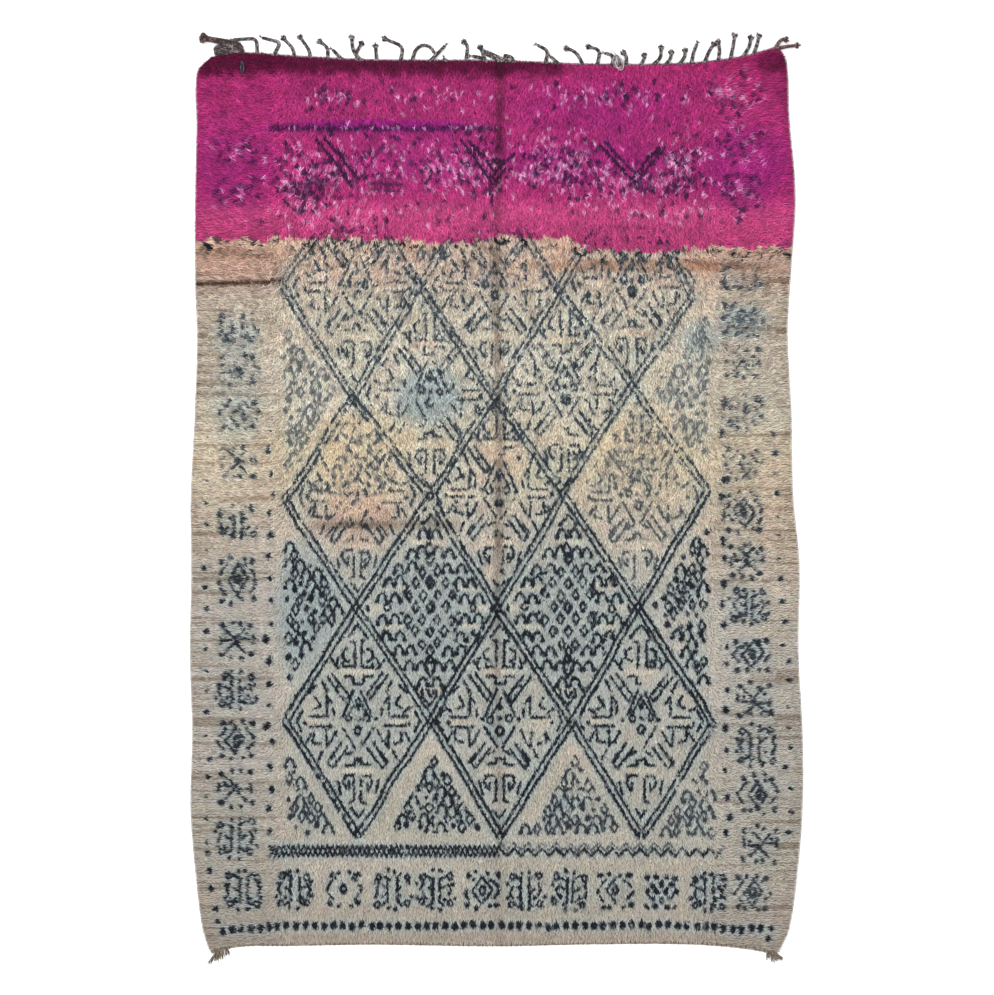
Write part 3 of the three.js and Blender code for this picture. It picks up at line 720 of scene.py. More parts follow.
    def speckle(self, dye: Array) -> None:
        """Scatters what is left of the dark and undyed knots over the magenta.

        Args:
            dye: The dyed raster, changed in place.
        """
        c, rng = self.canvas, self.rng
        dark, light = (np.zeros(c.shape) for _ in range(2))
        for (x, y), (a, b), count, share in FLECKS:
            for _ in range(count):
                spot = (x + rng.normal(0, a * 0.5), y + rng.normal(0, b * 0.5))
                if rng.random() < share * 0.72:
                    c.blob(dark, spot, (rng.uniform(1.1, 2.5), rng.uniform(1.5, 3.6)), rng.uniform(0.5, 1.0))
                else:
                    size = (rng.uniform(0.9, 1.5), rng.uniform(1.6, 3.6))
                    c.blob(light, spot, size, rng.uniform(0.6, 1.0), rng.uniform(-0.5, 0.5))
        for line, ink in DYED_LINES:
            c.stroke(dark, [(u + rng.normal(0, 0.5), v + rng.normal(0, 0.5)) for u, v in line], 3.2, ink)
        beside = np.maximum(ease((262 - c.x) / 4), ease((c.x - 716) / 4))
        upper = self.ink * (c.y < 246) * np.maximum(ease((c.y - 222) / 18), beside)
        dark = np.maximum(dark * 0.95, np.clip(upper * 0.9, 0, 1))
        dye += (Yarn.LILAC.rgb - dye) * (light * 0.85)[..., None]
        dye += (Yarn.INK_PURPLE.rgb - dye) * dark[..., None]

    def paint_shade_and_streaks(self) -> None:
        """Paints shade into the creases and between the locks, and darkens the margins with faint streaks."""
        c = self.canvas
        # Painted shade along the middle crease, where the pile parts.
        middle_fold_shade = np.exp(-(((c.x - 498 - np.sin(c.y / 60) * 1.5) / 4.6) ** 2))
        middle_fold_shade = middle_fold_shade * np.interp(c.y, (60, 240, 560, 700, 860, 940), (0.6, 0.5, 0.44, 0.26, 0.2, 0.16))
        self.multiply(middle_fold_shade * (0.4 + 0.9 * c.noise(18.0, 51)), (0.5, 0.44, 0.42))
        # Painted shade in the crease across the left margin, then in the crease across the field's left half
        # below the middle.
        crease_shade = np.exp(-(((c.y - 283 - np.sin(c.x / 25)) / 2.4) ** 2)) * ease((282 - c.x) / 10)
        self.multiply(crease_shade, (0.42, 0.34, 0.30))
        crease_shade = np.exp(-(((c.y - 526) / 5.0) ** 2)) * ease((c.x - 300) / 20) * ease((470 - c.x) / 30)
        self.multiply(crease_shade * 0.4, (0.6, 0.55, 0.5))
        streaks = soft_noise((c.shape[0], self.pile_repeat), 5.0, 55)
        across = np.repeat(streaks, math.ceil(c.shape[1] / self.pile_repeat), axis=1)[:, : c.shape[1]]
        margin = margins(c.x) * ease((c.y - 246) / 8)
        self.multiply(ease((across - 0.62) * 3.5) * margin * 0.6, (0.72, 0.66, 0.6))
        self.multiply(margin, (0.95, 0.95, 0.96))
        # Painted shadow in the gaps between the locks, strongest just below the dyed end and fading down the
        # rug.
        tuft_gaps = c.noise(6.5, 57) * 0.6 + c.noise(15.0, 58) * 0.4
        gap_shade = np.interp(c.y, (60, 240, 262, 320, 480, 620), (0.5, 0.4, 0.75, 0.5, 0.35, 0.14))
        self.multiply(ease((tuft_gaps - 0.52) * 4.0) * gap_shade, (0.82, 0.78, 0.77))

    def multiply(self, amount: Array, shade: Colour) -> None:
        """Darkens the picture towards a share of its colour."""
        self.picture *= 1.0 - np.clip(amount, 0.0, 1.0)[..., None] * (1.0 - np.asarray(shade))

    def at(self, x: Array, y: Array) -> Array:
        """The design's colours at places on the rug.

        Args:
            x: Metres across.
            y: Metres along.

        Returns:
            The colours, one row each.
        """
        c = self.canvas
        col = np.clip(((chart_x(x) - c.left) * c.per_unit).astype(int), 0, c.shape[1] - 1)
        row = np.clip(((chart_y(y) - c.top) * c.per_unit).astype(int), 0, c.shape[0] - 1)
        return self.picture[row, col]


# Millimetres down the field, and its left and right edges across.
SIDES = (
    (0, -900, 882), (45, -941, 908), (220, -943, 917), (460, -948, 936), (700, -947, 921), (880, -941, 911),
    (1120, -949, 923), (1370, -961, 928), (1580, -959, 948), (1850, -963, 945), (2100, -956, 958),
    (2330, -961, 958), (2560, -942, 938), (2700, -923, 915), (2776, -899, 880),
)
# Millimetres across, and how far the top and bottom edges lie beyond half the length.
ENDS = (
    (-900, 16, 24), (-810, 30, 3), (-640, 20, 0), (-400, 8, -4), (0, 5, 1), (300, -6, -5), (600, -3, -5),
    (770, 18, 8), (885, 50, 28),
)


@dataclass
class Plan:
    """The field's outline and the surface that its pile reaches, repeated from the part's own sizes."""

    length: float = 2.776
    missed: float = 0.006
    weave: float = 0.0025
    pile: float = 0.0088
    slope: float = 0.02

    def __post_init__(self) -> None:
        """Reads the tables on smooth curves and keeps the field's surface for its heights."""
        self.down = np.arange(0, 2777) / 1000.0
        self.left_of, self.right_of = (self.smooth(SIDES, k, self.down * 1000) / 1000 for k in (1, 2))
        self.over = np.arange(-980, 981) / 1000.0
        clipped = np.clip(self.over * 1000, ENDS[0][0], ENDS[-1][0])
        self.top_of, self.bottom_of = (self.smooth(ENDS, k, clipped) / 1000 for k in (1, 2))
        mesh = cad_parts["rug_field"].data
        corners = [v.co.copy() for v in mesh.vertices]
        self.surface = BVHTree.FromPolygons(corners, [tuple(p.vertices) for p in mesh.polygons])

    @staticmethod
    def smooth(rows: tuple[tuple[float, ...], ...], column: int, at: Array) -> Array:
        """Reads a column of a table on a smooth curve.

        Args:
            rows: The table, with its key in the first column.
            column: The column to read.
            at: The keys to read it at.

        Returns:
            The values there.
        """
        table = np.array(rows, float)
        key, value = table[:, 0], table[:, column]
        lo, hi = np.maximum(np.arange(len(key)) - 1, 0), np.minimum(np.arange(len(key)) + 1, len(key) - 1)
        slope = (value[hi] - value[lo]) / (key[hi] - key[lo])
        i = np.clip(np.searchsorted(key, at, side="right") - 1, 0, len(key) - 2)
        span = key[i + 1] - key[i]
        t = np.clip((at - key[i]) / span, 0.0, 1.0)
        leaving = (t**3 - 2 * t**2 + t) * span * slope[i]
        arriving = (t**3 - t**2) * span * slope[i + 1]
        return value[i] + (value[i + 1] - value[i]) * (t * t * (3 - 2 * t)) + leaving + arriving

    def top(self, x: Array | float) -> Array | float:
        """Where the plaited end's edge lies."""
        return self.length / 2 + np.interp(x, self.over, self.top_of)

    def bottom(self, x: Array | float) -> Array | float:
        """Where the woven end's edge lies."""
        return -self.length / 2 - np.interp(x, self.over, self.bottom_of)

    def left(self, down: Array | float) -> Array | float:
        """The left side's edge at a distance down the field."""
        return np.interp(down, self.down, self.left_of)

    def right(self, down: Array | float) -> Array | float:
        """The right side's edge at a distance down the field."""
        return np.interp(down, self.down, self.right_of)

    def from_top(self, x: Array, y: Array) -> Array:
        """How far down the field a place lies."""
        return (self.top(x) - y) / (self.top(x) - self.bottom(x)) * self.length

    def place(self, share: Array | float, down: Array | float) -> tuple[Array, Array]:
        """The x and y at a share of the width and a distance down the field."""
        x = self.left(down) + (self.right(down) - self.left(down)) * share
        return x, self.top(x) + (self.bottom(x) - self.top(x)) * (down / self.length)

    def bed(self, x: Array, y: Array) -> Array:
        """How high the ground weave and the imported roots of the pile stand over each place.

        Args:
            x: Metres across.
            y: Metres along.

        Returns:
            The heights.
        """
        down = self.from_top(x, y)
        inward = np.minimum(np.minimum(x - self.left(down), self.right(down) - x), self.slope)
        return self.weave + np.maximum(self.height(x, y) - self.pile, 0.0) * ease(inward / self.slope)

    def height(self, x: Array, y: Array) -> Array:
        """How high the field's surface lies over each place.

        Args:
            x: Metres across.
            y: Metres along.

        Returns:
            The heights, with the missed height where there is no field.
        """
        found = np.full(len(x), self.missed)
        down = Vector((0, 0, -1))
        for i, (a, b) in enumerate(zip(x.tolist(), y.tolist())):
            hit = self.surface.ray_cast(Vector((a, b, 0.1)), down)[0]
            if hit is not None:
                found[i] = hit.z
        return found


class Tree:
    """A small helper that builds a node tree."""

    def __init__(self, tree: bpy.types.NodeTree) -> None:
        """Keeps the tree."""
        self.tree = tree

    def add(self, kind: str, inputs: dict | None = None, **settings: object) -> bpy.types.Node:
        """Adds a node.

        Args:
            kind: The node's type.
            inputs: Values or outputs by input name or number.
            settings: The node's own settings.

        Returns:
            The node.
        """
        node = self.tree.nodes.new(kind)
        for name, value in settings.items():
            setattr(node, name, value)
        for key, value in (inputs or {}).items():
            if isinstance(value, bpy.types.NodeSocket):
                self.tree.links.new(value, node.inputs[key])
            else:
                node.inputs[key].default_value = value
        return node


class GeometryTree(Tree):
    """A geometry tree with named inputs, which ends in Realize Instances and Set Material."""

    def __init__(self, name: str, inputs: tuple[tuple[str, str], ...]) -> None:
        """Makes the tree's inputs.

        Args:
            name: The tree's name.
            inputs: Each input's name and socket type.
        """
        super().__init__(bpy.data.node_groups.new(name, "GeometryNodeTree"))
        face = self.tree.interface
        face.new_socket("Geometry", in_out="INPUT", socket_type="NodeSocketGeometry")
        for label, kind in (*inputs, ("Yarn", "NodeSocketMaterial")):
            face.new_socket(label, in_out="INPUT", socket_type=kind)
        face.new_socket("Geometry", in_out="OUTPUT", socket_type="NodeSocketGeometry")
        self.given = self.add("NodeGroupInput").outputs

    def read(self, name: str, kind: str) -> bpy.types.NodeSocket:
        """The values stored under a name on the seedbed."""
        return self.add("GeometryNodeInputNamedAttribute", {"Name": name}, data_type=kind).outputs[0]

    def close(self, geometry: bpy.types.NodeSocket) -> bpy.types.NodeTree:
        """Ends the tree.

        Args:
            geometry: What it has made.

        Returns:
            The tree.
        """
        real = self.add("GeometryNodeRealizeInstances", {"Geometry": geometry})
        dressed = self.add("GeometryNodeSetMaterial", {0: real.outputs[0], "Material": self.given["Yarn"]})
        self.add("NodeGroupOutput", {0: dressed.outputs[0]})
        return self.tree


def grow(
    seedbed: bpy.types.Object, tree: bpy.types.NodeTree, values: dict[str, object], name: str
) -> bpy.types.Object:
    """Runs a geometry tree on an object and keeps the result as a plain mesh.

    Args:
        seedbed: The object that carries the tree, removed afterwards.
        tree: The geometry tree.
        values: The tree's inputs by name.
        name: The new piece's name.

    Returns:
        The new piece.
    """
    modifier = seedbed.modifiers.new("Grow", "NODES")
    modifier.node_group = tree
    sockets = {s.name: s.identifier for s in tree.interface.items_tree if s.in_out == "INPUT"}
    for label, value in values.items():
        modifier[sockets[label]] = value
    seedbed.update_tag()
    graph = bpy.context.evaluated_depsgraph_get()
    mesh = bpy.data.meshes.new_from_object(seedbed.evaluated_get(graph), depsgraph=graph)
    mesh.name = name
    piece = bpy.data.objects.new(name, mesh)
    bpy.context.scene.collection.objects.link(piece)
    bpy.data.objects.remove(seedbed)
    return piece


def new_object(
    name: str, corners: Array, faces: list | Array = (), edges: list | Array = ()
) -> bpy.types.Object:
    """A mesh object at the origin.

    Args:
        name: Its name.
        corners: Its vertices.
        faces: Its faces.
        edges: Its edges, where it has no faces.

    Returns:
        The object.
    """
    mesh = bpy.data.meshes.new(name)
    mesh.from_pydata(np.asarray(corners).tolist(), [tuple(e) for e in edges], [tuple(f) for f in faces])
    mesh.update()
    obj = bpy.data.objects.new(name, mesh)
    bpy.context.scene.collection.objects.link(obj)
    return obj


def add_values(mesh: bpy.types.Mesh, name: str, values: Array) -> None:
    """Stores something for each vertex of a mesh.

    Args:
        mesh: The mesh.
        name: What it is called. A yarn is stored as a colour.
        values: One number, or one vector, for each vertex.
    """
    if name == "yarn":
        kind, key = "FLOAT_COLOR", "color"
        values = np.concatenate([values, np.ones((len(values), 1))], axis=1)
    else:
        kind, key = ("FLOAT_VECTOR", "vector") if np.ndim(values) == 2 else ("FLOAT", "value")
    store = mesh.attributes.new(name, kind, "POINT")
    store.data.foreach_set(key, np.ascontiguousarray(values, np.float32).ravel())


@dataclass(frozen=True)
class WoolFinish:
    """Dyed wool: its colour comes from the piece, with painted shade towards the root and the fibres' own
    variation.

    The fields are the share of its colour at the root, how far the fibres vary, their scale, and the sheen.
    """

    name: str
    # The share of its colour left at the root by the painted shade.
    root: float = 0.6
    vary: float = 0.18
    grain: float = 900.0
    sheen: float = 0.03
    rough: float = 0.95
    bump: float = 0.0

    def material(self) -> bpy.types.Material:
        """Builds the material.

        Returns:
            The material.
        """
        made = bpy.data.materials.new(self.name)
        made.use_nodes = True
        tree, link = Tree(made.node_tree), made.node_tree.links.new
        shader = made.node_tree.nodes["Principled BSDF"]
        yarn = tree.add("ShaderNodeAttribute", attribute_name="yarn")
        along = tree.add("ShaderNodeAttribute", attribute_name="along")
        place = tree.add("ShaderNodeTexCoord").outputs["Object"]
        fine = {"Vector": place, "Scale": self.grain, "Detail": 2.0}
        fibre = tree.add("ShaderNodeTexNoise", fine).outputs["Fac"]
        # Painted shade: the colour falls from full at the tip to the root share at the root.
        upwards = {"Value": along.outputs["Fac"], "To Min": self.root, "To Max": 1.0}
        root_shade = tree.add("ShaderNodeMapRange", upwards)
        ranges = {"From Min": 0.3, "From Max": 0.7, "To Min": 1 - self.vary, "To Max": 1 + self.vary}
        spread = tree.add("ShaderNodeMapRange", {"Value": fibre, **ranges})
        shade = tree.add("ShaderNodeMath", {0: root_shade.outputs[0], 1: spread.outputs[0]}, operation="MULTIPLY")
        tinted = {0: yarn.outputs["Color"], "Scale": shade.outputs[0]}
        colour = tree.add("ShaderNodeVectorMath", tinted, operation="SCALE")
        link(colour.outputs[0], shader.inputs["Base Color"])
        if self.bump:
            relief = tree.add("ShaderNodeBump", {"Height": fibre, "Strength": self.bump, "Distance": 0.001})
            link(relief.outputs[0], shader.inputs["Normal"])
        for name, value in (
            ("Roughness", self.rough),
            ("Specular IOR Level", 0.08),
            ("Sheen Weight", self.sheen),
            ("Sheen Roughness", 0.6),
        ):
            shader.inputs[name].default_value = value
        return made


@dataclass
class Pile:
    """The knotted pile: thousands of short locks in lengthwise strips, each lock in its own yarn."""

    plan: Plan
    design: Design
    half_width: float = 0.98
    half_length: float = 1.46
    pitch_across: float = 0.0051
    pitch_along: float = 0.0052
    stray: float = 0.0008
    rim: float = 0.004
    woven_end: float = 0.0105
    strips: int = 5
    lock_width: float = 0.0078
    shortest: float = 0.0065
    longer: float = 0.0105
    above: float = 0.0012
    lowest: float = 0.003
    gain: float = 1.31
    seed: int = 7

    def lock(self) -> bpy.types.Object:
        """Makes one closed lock of unit width, reach and height, which leans towards +Y.

        Returns:
            The lock, with the share of its length at each corner.
        """
        corners = [(-0.5, -0.25, 0.12), (0.5, -0.25, 0.0), (0.05, 0.2, 1.0), (-0.05, 1.0, 0.9)]
        obj = new_object("lock", np.array(corners), [(0, 1, 2), (0, 2, 3), (1, 3, 2), (0, 3, 1)])
        add_values(obj.data, "along", np.array([0.0, 0.0, 0.85, 1.0]))
        return obj

    def tree(self) -> bpy.types.NodeTree:
        """Builds the tree that sets a lock on each point.

        Returns:
            The tree.
        """
        tree = GeometryTree("Knotted locks", (("Lock", "NodeSocketObject"), ("Thickness", "NodeSocketFloat")))
        lock = tree.add("GeometryNodeObjectInfo", {"Object": tree.given["Lock"]})
        turn, size = tree.read("turn", "FLOAT_VECTOR"), tree.read("size", "FLOAT_VECTOR")
        thick = tree.add("ShaderNodeCombineXYZ", {"X": tree.given["Thickness"], "Y": 1.0, "Z": 1.0})
        scaled = tree.add("ShaderNodeVectorMath", {0: size, 1: thick.outputs[0]}, operation="MULTIPLY")
        spin = tree.add("FunctionNodeEulerToRotation", {0: turn})
        given = {"Points": tree.given["Geometry"], "Instance": lock.outputs["Geometry"]}
        given |= {"Rotation": spin.outputs[0], "Scale": scaled.outputs[0]}
        return tree.close(tree.add("GeometryNodeInstanceOnPoints", given).outputs[0])

    def sow(self) -> dict[str, Array]:
        """Places every knot and says how its lock lies.

        Returns:
            Arrays by name, with a row for each lock: its root, its turn, its size and its yarn.
        """
        rng, plan = np.random.default_rng(self.seed), self.plan
        columns = np.arange(-self.half_width, self.half_width, self.pitch_across)
        rows = np.arange(-self.half_length, self.half_length, self.pitch_along)
        x, y = np.meshgrid(columns, rows)
        x[1::2] += self.pitch_across / 2
        x, y = ((axis + rng.normal(0, self.stray, axis.shape)).ravel() for axis in (x, y))
        down = np.clip(plan.from_top(x, y), 0, plan.length)
        left, right = plan.left(down), plan.right(down)
        keep = (x > left + self.rim) & (x < right - self.rim)
        keep &= (y < plan.top(x) - self.rim) & (y > plan.bottom(x) + self.woven_end)
        x, y, left, right = x[keep], y[keep], left[keep], right[keep]
        across, lengthwise = chart_x(x), chart_y(y)
        margin = margins(across)
        lengths = (60, 80, 240, 262, 400, 520, 850, 930), (0.6, 0.55, 0.6, 0.5, 0.4, 0.22, 0.12, 0.25)
        shag = np.interp(lengthwise, *lengths)
        shag = np.clip(shag + margin * np.interp(lengthwise, (240, 560, 860), (0.3, 0.3, 0.2)), 0, 1)
        outward = ease(1 - (right - x) / 0.05) - ease(1 - (x - left) / 0.05)
        gust = np.sin(across / 31 + 1.3 * np.sin(lengthwise / 57)) * 0.35
        gust = gust + np.sin(across / 83 - lengthwise / 47) * 0.25
        side = np.sign(across - CHART_MIDDLE[0]) * margin
        lean_x = side * 1.3 + outward * 1.6 + gust * shag + rng.normal(0, 0.25 + 0.45 * shag)
        lean_y = -1.0 + margin * 1.2 + rng.normal(0, 0.25 + 0.3 * shag)
        lean_y = lean_y - ease(1 - (y - plan.bottom(x)) / 0.05) * 0.4
        slant = np.abs(lean_x) / np.maximum(np.hypot(lean_x, lean_y), 1e-6)
        spare = np.where(lean_x < 0, x - left, right - x) + rng.uniform(-0.002, 0.0022, len(x))
        reach = (self.shortest + self.longer * shag) * rng.uniform(0.75, 1.25, len(x))
        reach = np.minimum(reach, np.maximum(spare, 0.004) / np.maximum(slant, 0.05))
        level = plan.height(x, y)
        root = np.minimum(plan.bed(x, y) - 0.0004, level - 0.002)
        tall = np.maximum(level + self.above + rng.normal(0, 0.0010, len(x)) - root, self.lowest)
        wide = self.lock_width * (1.0 - 0.4 * shag) * rng.uniform(0.8, 1.15, len(x))
        upright = np.zeros(len(x))
        return {
            "root": np.stack([x, y, root], axis=1),
            "turn": np.stack([upright, upright, np.arctan2(-lean_x, lean_y)], axis=1),
            "size": np.stack([wide, reach, tall], axis=1),
            "yarn": self.dye(x, y, (lean_x, lean_y), reach, shag, rng),
        }

    def dye(
        self,
        x: Array,
        y: Array,
        lean: tuple[Array, Array],
        reach: Array,
        shag: Array,
        rng: np.random.Generator,
    ) -> Array:
        """Each lock's yarn, read where its visible end lies, and lighter where narrow locks shade each other.

        Args:
            x: Metres across.
            y: Metres along.
            lean: How far it leans to the right and up the rug, to any scale.
            reach: How far it lies over.
            shag: How long and narrow it is, from 0 to 1.
            rng: The source of the variation.

        Returns:
            Linear colours.
        """
        shift = reach * 0.65 / np.maximum(np.hypot(*lean), 1e-6)
        colour = self.design.at(x + lean[0] * shift, y + lean[1] * shift)
        wild = np.interp(chart_y(y), (60, 240, 500, 600), (0.11, 0.1, 0.07, 0.05))[:, None]
        colour = colour * (1 + rng.normal(0, 1, (len(x), 1)) * wild + rng.normal(0, 0.015, (len(x), 3)))
        return np.minimum(to_linear(colour) * self.gain * (1.0 + 0.17 * shag[:, None]), 0.95)

    def build(self) -> list[bpy.types.Object]:
        """Knots the pile.

        Returns:
            One piece for each strip.
        """
        sown, lock, tree = self.sow(), self.lock(), self.tree()
        wool = WoolFinish("pile wool").material()
        order = np.argsort(sown["root"][:, 0], kind="stable")
        pieces = []
        for i, share in enumerate(np.array_split(order, self.strips), 1):
            bed = new_object("seedbed", sown["root"][share])
            for name in ("turn", "size", "yarn"):
                add_values(bed.data, name, sown[name][share])
            piece = grow(bed, tree, {"Lock": lock, "Thickness": 1.0, "Yarn": wool}, f"pile_strip_{i}")
            self.lay_cells(piece.data, len(share))
            pieces.append(piece)
        bpy.data.objects.remove(lock)
        return pieces

    @staticmethod
    def lay_cells(mesh: bpy.types.Mesh, locks: int) -> None:
        """Gives each lock its own cell of the piece's map, so that its colour bakes clean.

        Args:
            mesh: The strip's mesh, with its locks one after another.
            locks: How many locks it has.
        """
        per_lock = len(mesh.loops) // locks
        side = math.ceil(math.sqrt(locks))
        along = np.zeros(len(mesh.vertices), np.float32)
        mesh.attributes["along"].data.foreach_get("value", along)
        index = np.zeros(len(mesh.loops), np.int32)
        mesh.loops.foreach_get("vertex_index", index)
        number = np.arange(len(mesh.loops))
        cell, corner = number // per_lock, number % per_lock % 3
        u = np.array([0.15, 0.5, 0.85])[corner]
        v = 0.15 + 0.55 * along[index] + np.array([0.0, 0.15, 0.0])[corner]
        uv = np.stack([(cell % side + u) / side, (cell // side + v) / side], axis=1)
        layer = mesh.uv_layers.new(name="OFBake")
        layer.uv.foreach_set("vector", uv.astype(np.float32).ravel())


@dataclass
class GroundWeave:
    """The woven ground under the pile, a thin sheet that shows along the edges and from below."""

    plan: Plan
    design: Design
    low: float = 0.0003
    columns: int = 120
    rows: int = 172
    drawn_in: float = 0.0025

    def build(self) -> bpy.types.Object:
        """Weaves the sheet, closed all round.

        Returns:
            The sheet.
        """
        share = np.linspace(0, 1, self.columns + 1)
        down = np.linspace(0, self.plan.length, self.rows + 1)
        s, d = (axis.ravel() for axis in np.meshgrid(share, down))
        x, y = self.plan.place(s, d)
        x = x - np.sign(x) * self.drawn_in * (np.abs(s - 0.5) > 0.499)
        lower = np.stack([x, y, np.full_like(x, self.low)], axis=1)
        upper = np.stack([x, y, self.plan.bed(x, y)], axis=1)
        wide, count = self.columns + 1, len(x)
        faces: list[tuple[int, ...]] = []
        for a in (r * wide + c for r in range(self.rows) for c in range(self.columns)):
            faces.append((a, a + 1, a + wide + 1, a + wide))
            faces.append((count + a, count + a + wide, count + a + wide + 1, count + a + 1))
        rim = list(range(self.columns)) + [r * wide + self.columns for r in range(self.rows)]
        rim += [self.rows * wide + c for c in range(self.columns, 0, -1)]
        rim += [r * wide for r in range(self.rows, 0, -1)]
        faces += [(b, a, count + a, count + b) for a, b in zip(rim, rim[1:] + rim[:1])]
        piece = new_object("ground_weave", np.concatenate([lower, upper]), faces)
        # The top takes the design's colour at 0.8, as painted shade where it shows between the locks.
        colour = self.design.at(x, y)
        under = to_linear(colour * 0.82 + np.array([16.0, 14.0, 12.0]))
        add_values(piece.data, "yarn", np.concatenate([under, to_linear(colour * 0.8)]))
        add_values(piece.data, "along", np.ones(2 * count))
        piece.data.materials.append(WoolFinish("ground weave", 1.0, 0.3, 420.0, 0.05, 0.95, 0.6).material())
        return piece


@dataclass(frozen=True)
class Shade:
    """A yarn's main colour, the colour of its flecks, and the share of it that is flecked."""

    dark: Colour
    light: Colour
    flecks: float


@dataclass
class Threads:
    """Yarns gathered as lines on one seedbed, which are then swept into round threads together."""

    sides: int
    seed: int

    def __post_init__(self) -> None:
        """Starts with no yarn."""
        self.rng = np.random.default_rng(self.seed)
        self.points: list[Array] = []
        self.thick: list[Array] = []
        self.shades: list[Array] = []

    def add(self, points: Array, radius: Array | float, shade: Shade) -> None:
        """Adds one yarn.

        Args:
            points: The points it follows.
            radius: Its radius, the same or point by point.
            shade: Its colours.
        """
        count = len(points)
        flecked = (self.rng.normal(0, 0.12, count), self.rng.random(count) < shade.flecks)
        share = np.clip(flecked[0] + flecked[1] * 0.9, 0, 1)
        self.points.append(np.asarray(points, float))
        self.thick.append(np.broadcast_to(np.asarray(radius, float), (count,)).copy())
        self.shades.append(to_linear(mix(np.asarray(shade.dark), np.asarray(shade.light), share)))

    def tree(self) -> bpy.types.NodeTree:
        """Builds the tree that sweeps a round thread along each line.

        Returns:
            The tree.
        """
        tree = GeometryTree("Round threads", (("Sides", "NodeSocketInt"), ("Thickness", "NodeSocketFloat")))
        lines = tree.add("GeometryNodeMeshToCurve", {0: tree.given["Geometry"]})
        thick = tree.read("thick", "FLOAT")
        wide = tree.add("ShaderNodeMath", {0: thick, 1: tree.given["Thickness"]}, operation="MULTIPLY")
        circle = {"Resolution": tree.given["Sides"], "Radius": 1.0}
        ring = tree.add("GeometryNodeCurvePrimitiveCircle", circle)
        given = {"Curve": lines.outputs[0], "Profile Curve": ring.outputs[0]}
        given |= {"Scale": wide.outputs[0], "Fill Caps": True}
        return tree.close(tree.add("GeometryNodeCurveToMesh", given).outputs[0])

    def sweep(self, name: str, wool: bpy.types.Material) -> bpy.types.Object:
        """Turns the gathered yarns into one piece.

        Args:
            name: The piece's name.
            wool: Its material.

        Returns:
            The piece.
        """
        edges, start = [], 0
        for line in self.points:
            edges += [(start + i, start + i + 1) for i in range(len(line) - 1)]
            start += len(line)
        bed = new_object("seedbed", np.concatenate(self.points), [], edges)
        add_values(bed.data, "thick", np.concatenate(self.thick))
        add_values(bed.data, "yarn", np.concatenate(self.shades))
        add_values(bed.data, "along", np.ones(start))
        return grow(bed, self.tree(), {"Sides": self.sides, "Thickness": 1.0, "Yarn": wool}, name)


@dataclass(frozen=True)
class Strand:
    """One plaited warp end.

    Its place along the edge and its length are in millimetres, its lean and how far it turns are in degrees,
    and the turn starts and stops at shares of its length.
    """

    at: float
    long: float
    lean: float
    turn: float
    start: float
    stop: float
    knot: bool

    def path(self, foot: Point, step: float = 0.0022) -> Array:
        """The way that it lies on the floor.

        Args:
            foot: Where it starts.
            step: The distance between two points.

        Returns:
            The points.
        """
        count = max(int(self.long / 1000 / step), 4)
        share = (np.arange(count) + 0.5) / count
        heading = np.radians(self.lean + self.turn * ease((share - self.start) / (self.stop - self.start)))
        hop = self.long / 1000 / count
        x = foot[0] + np.concatenate([[0], np.cumsum(np.sin(heading) * hop)])
        y = foot[1] + np.concatenate([[0], np.cumsum(np.cos(heading) * hop)])
        return np.stack([x, y], axis=1)


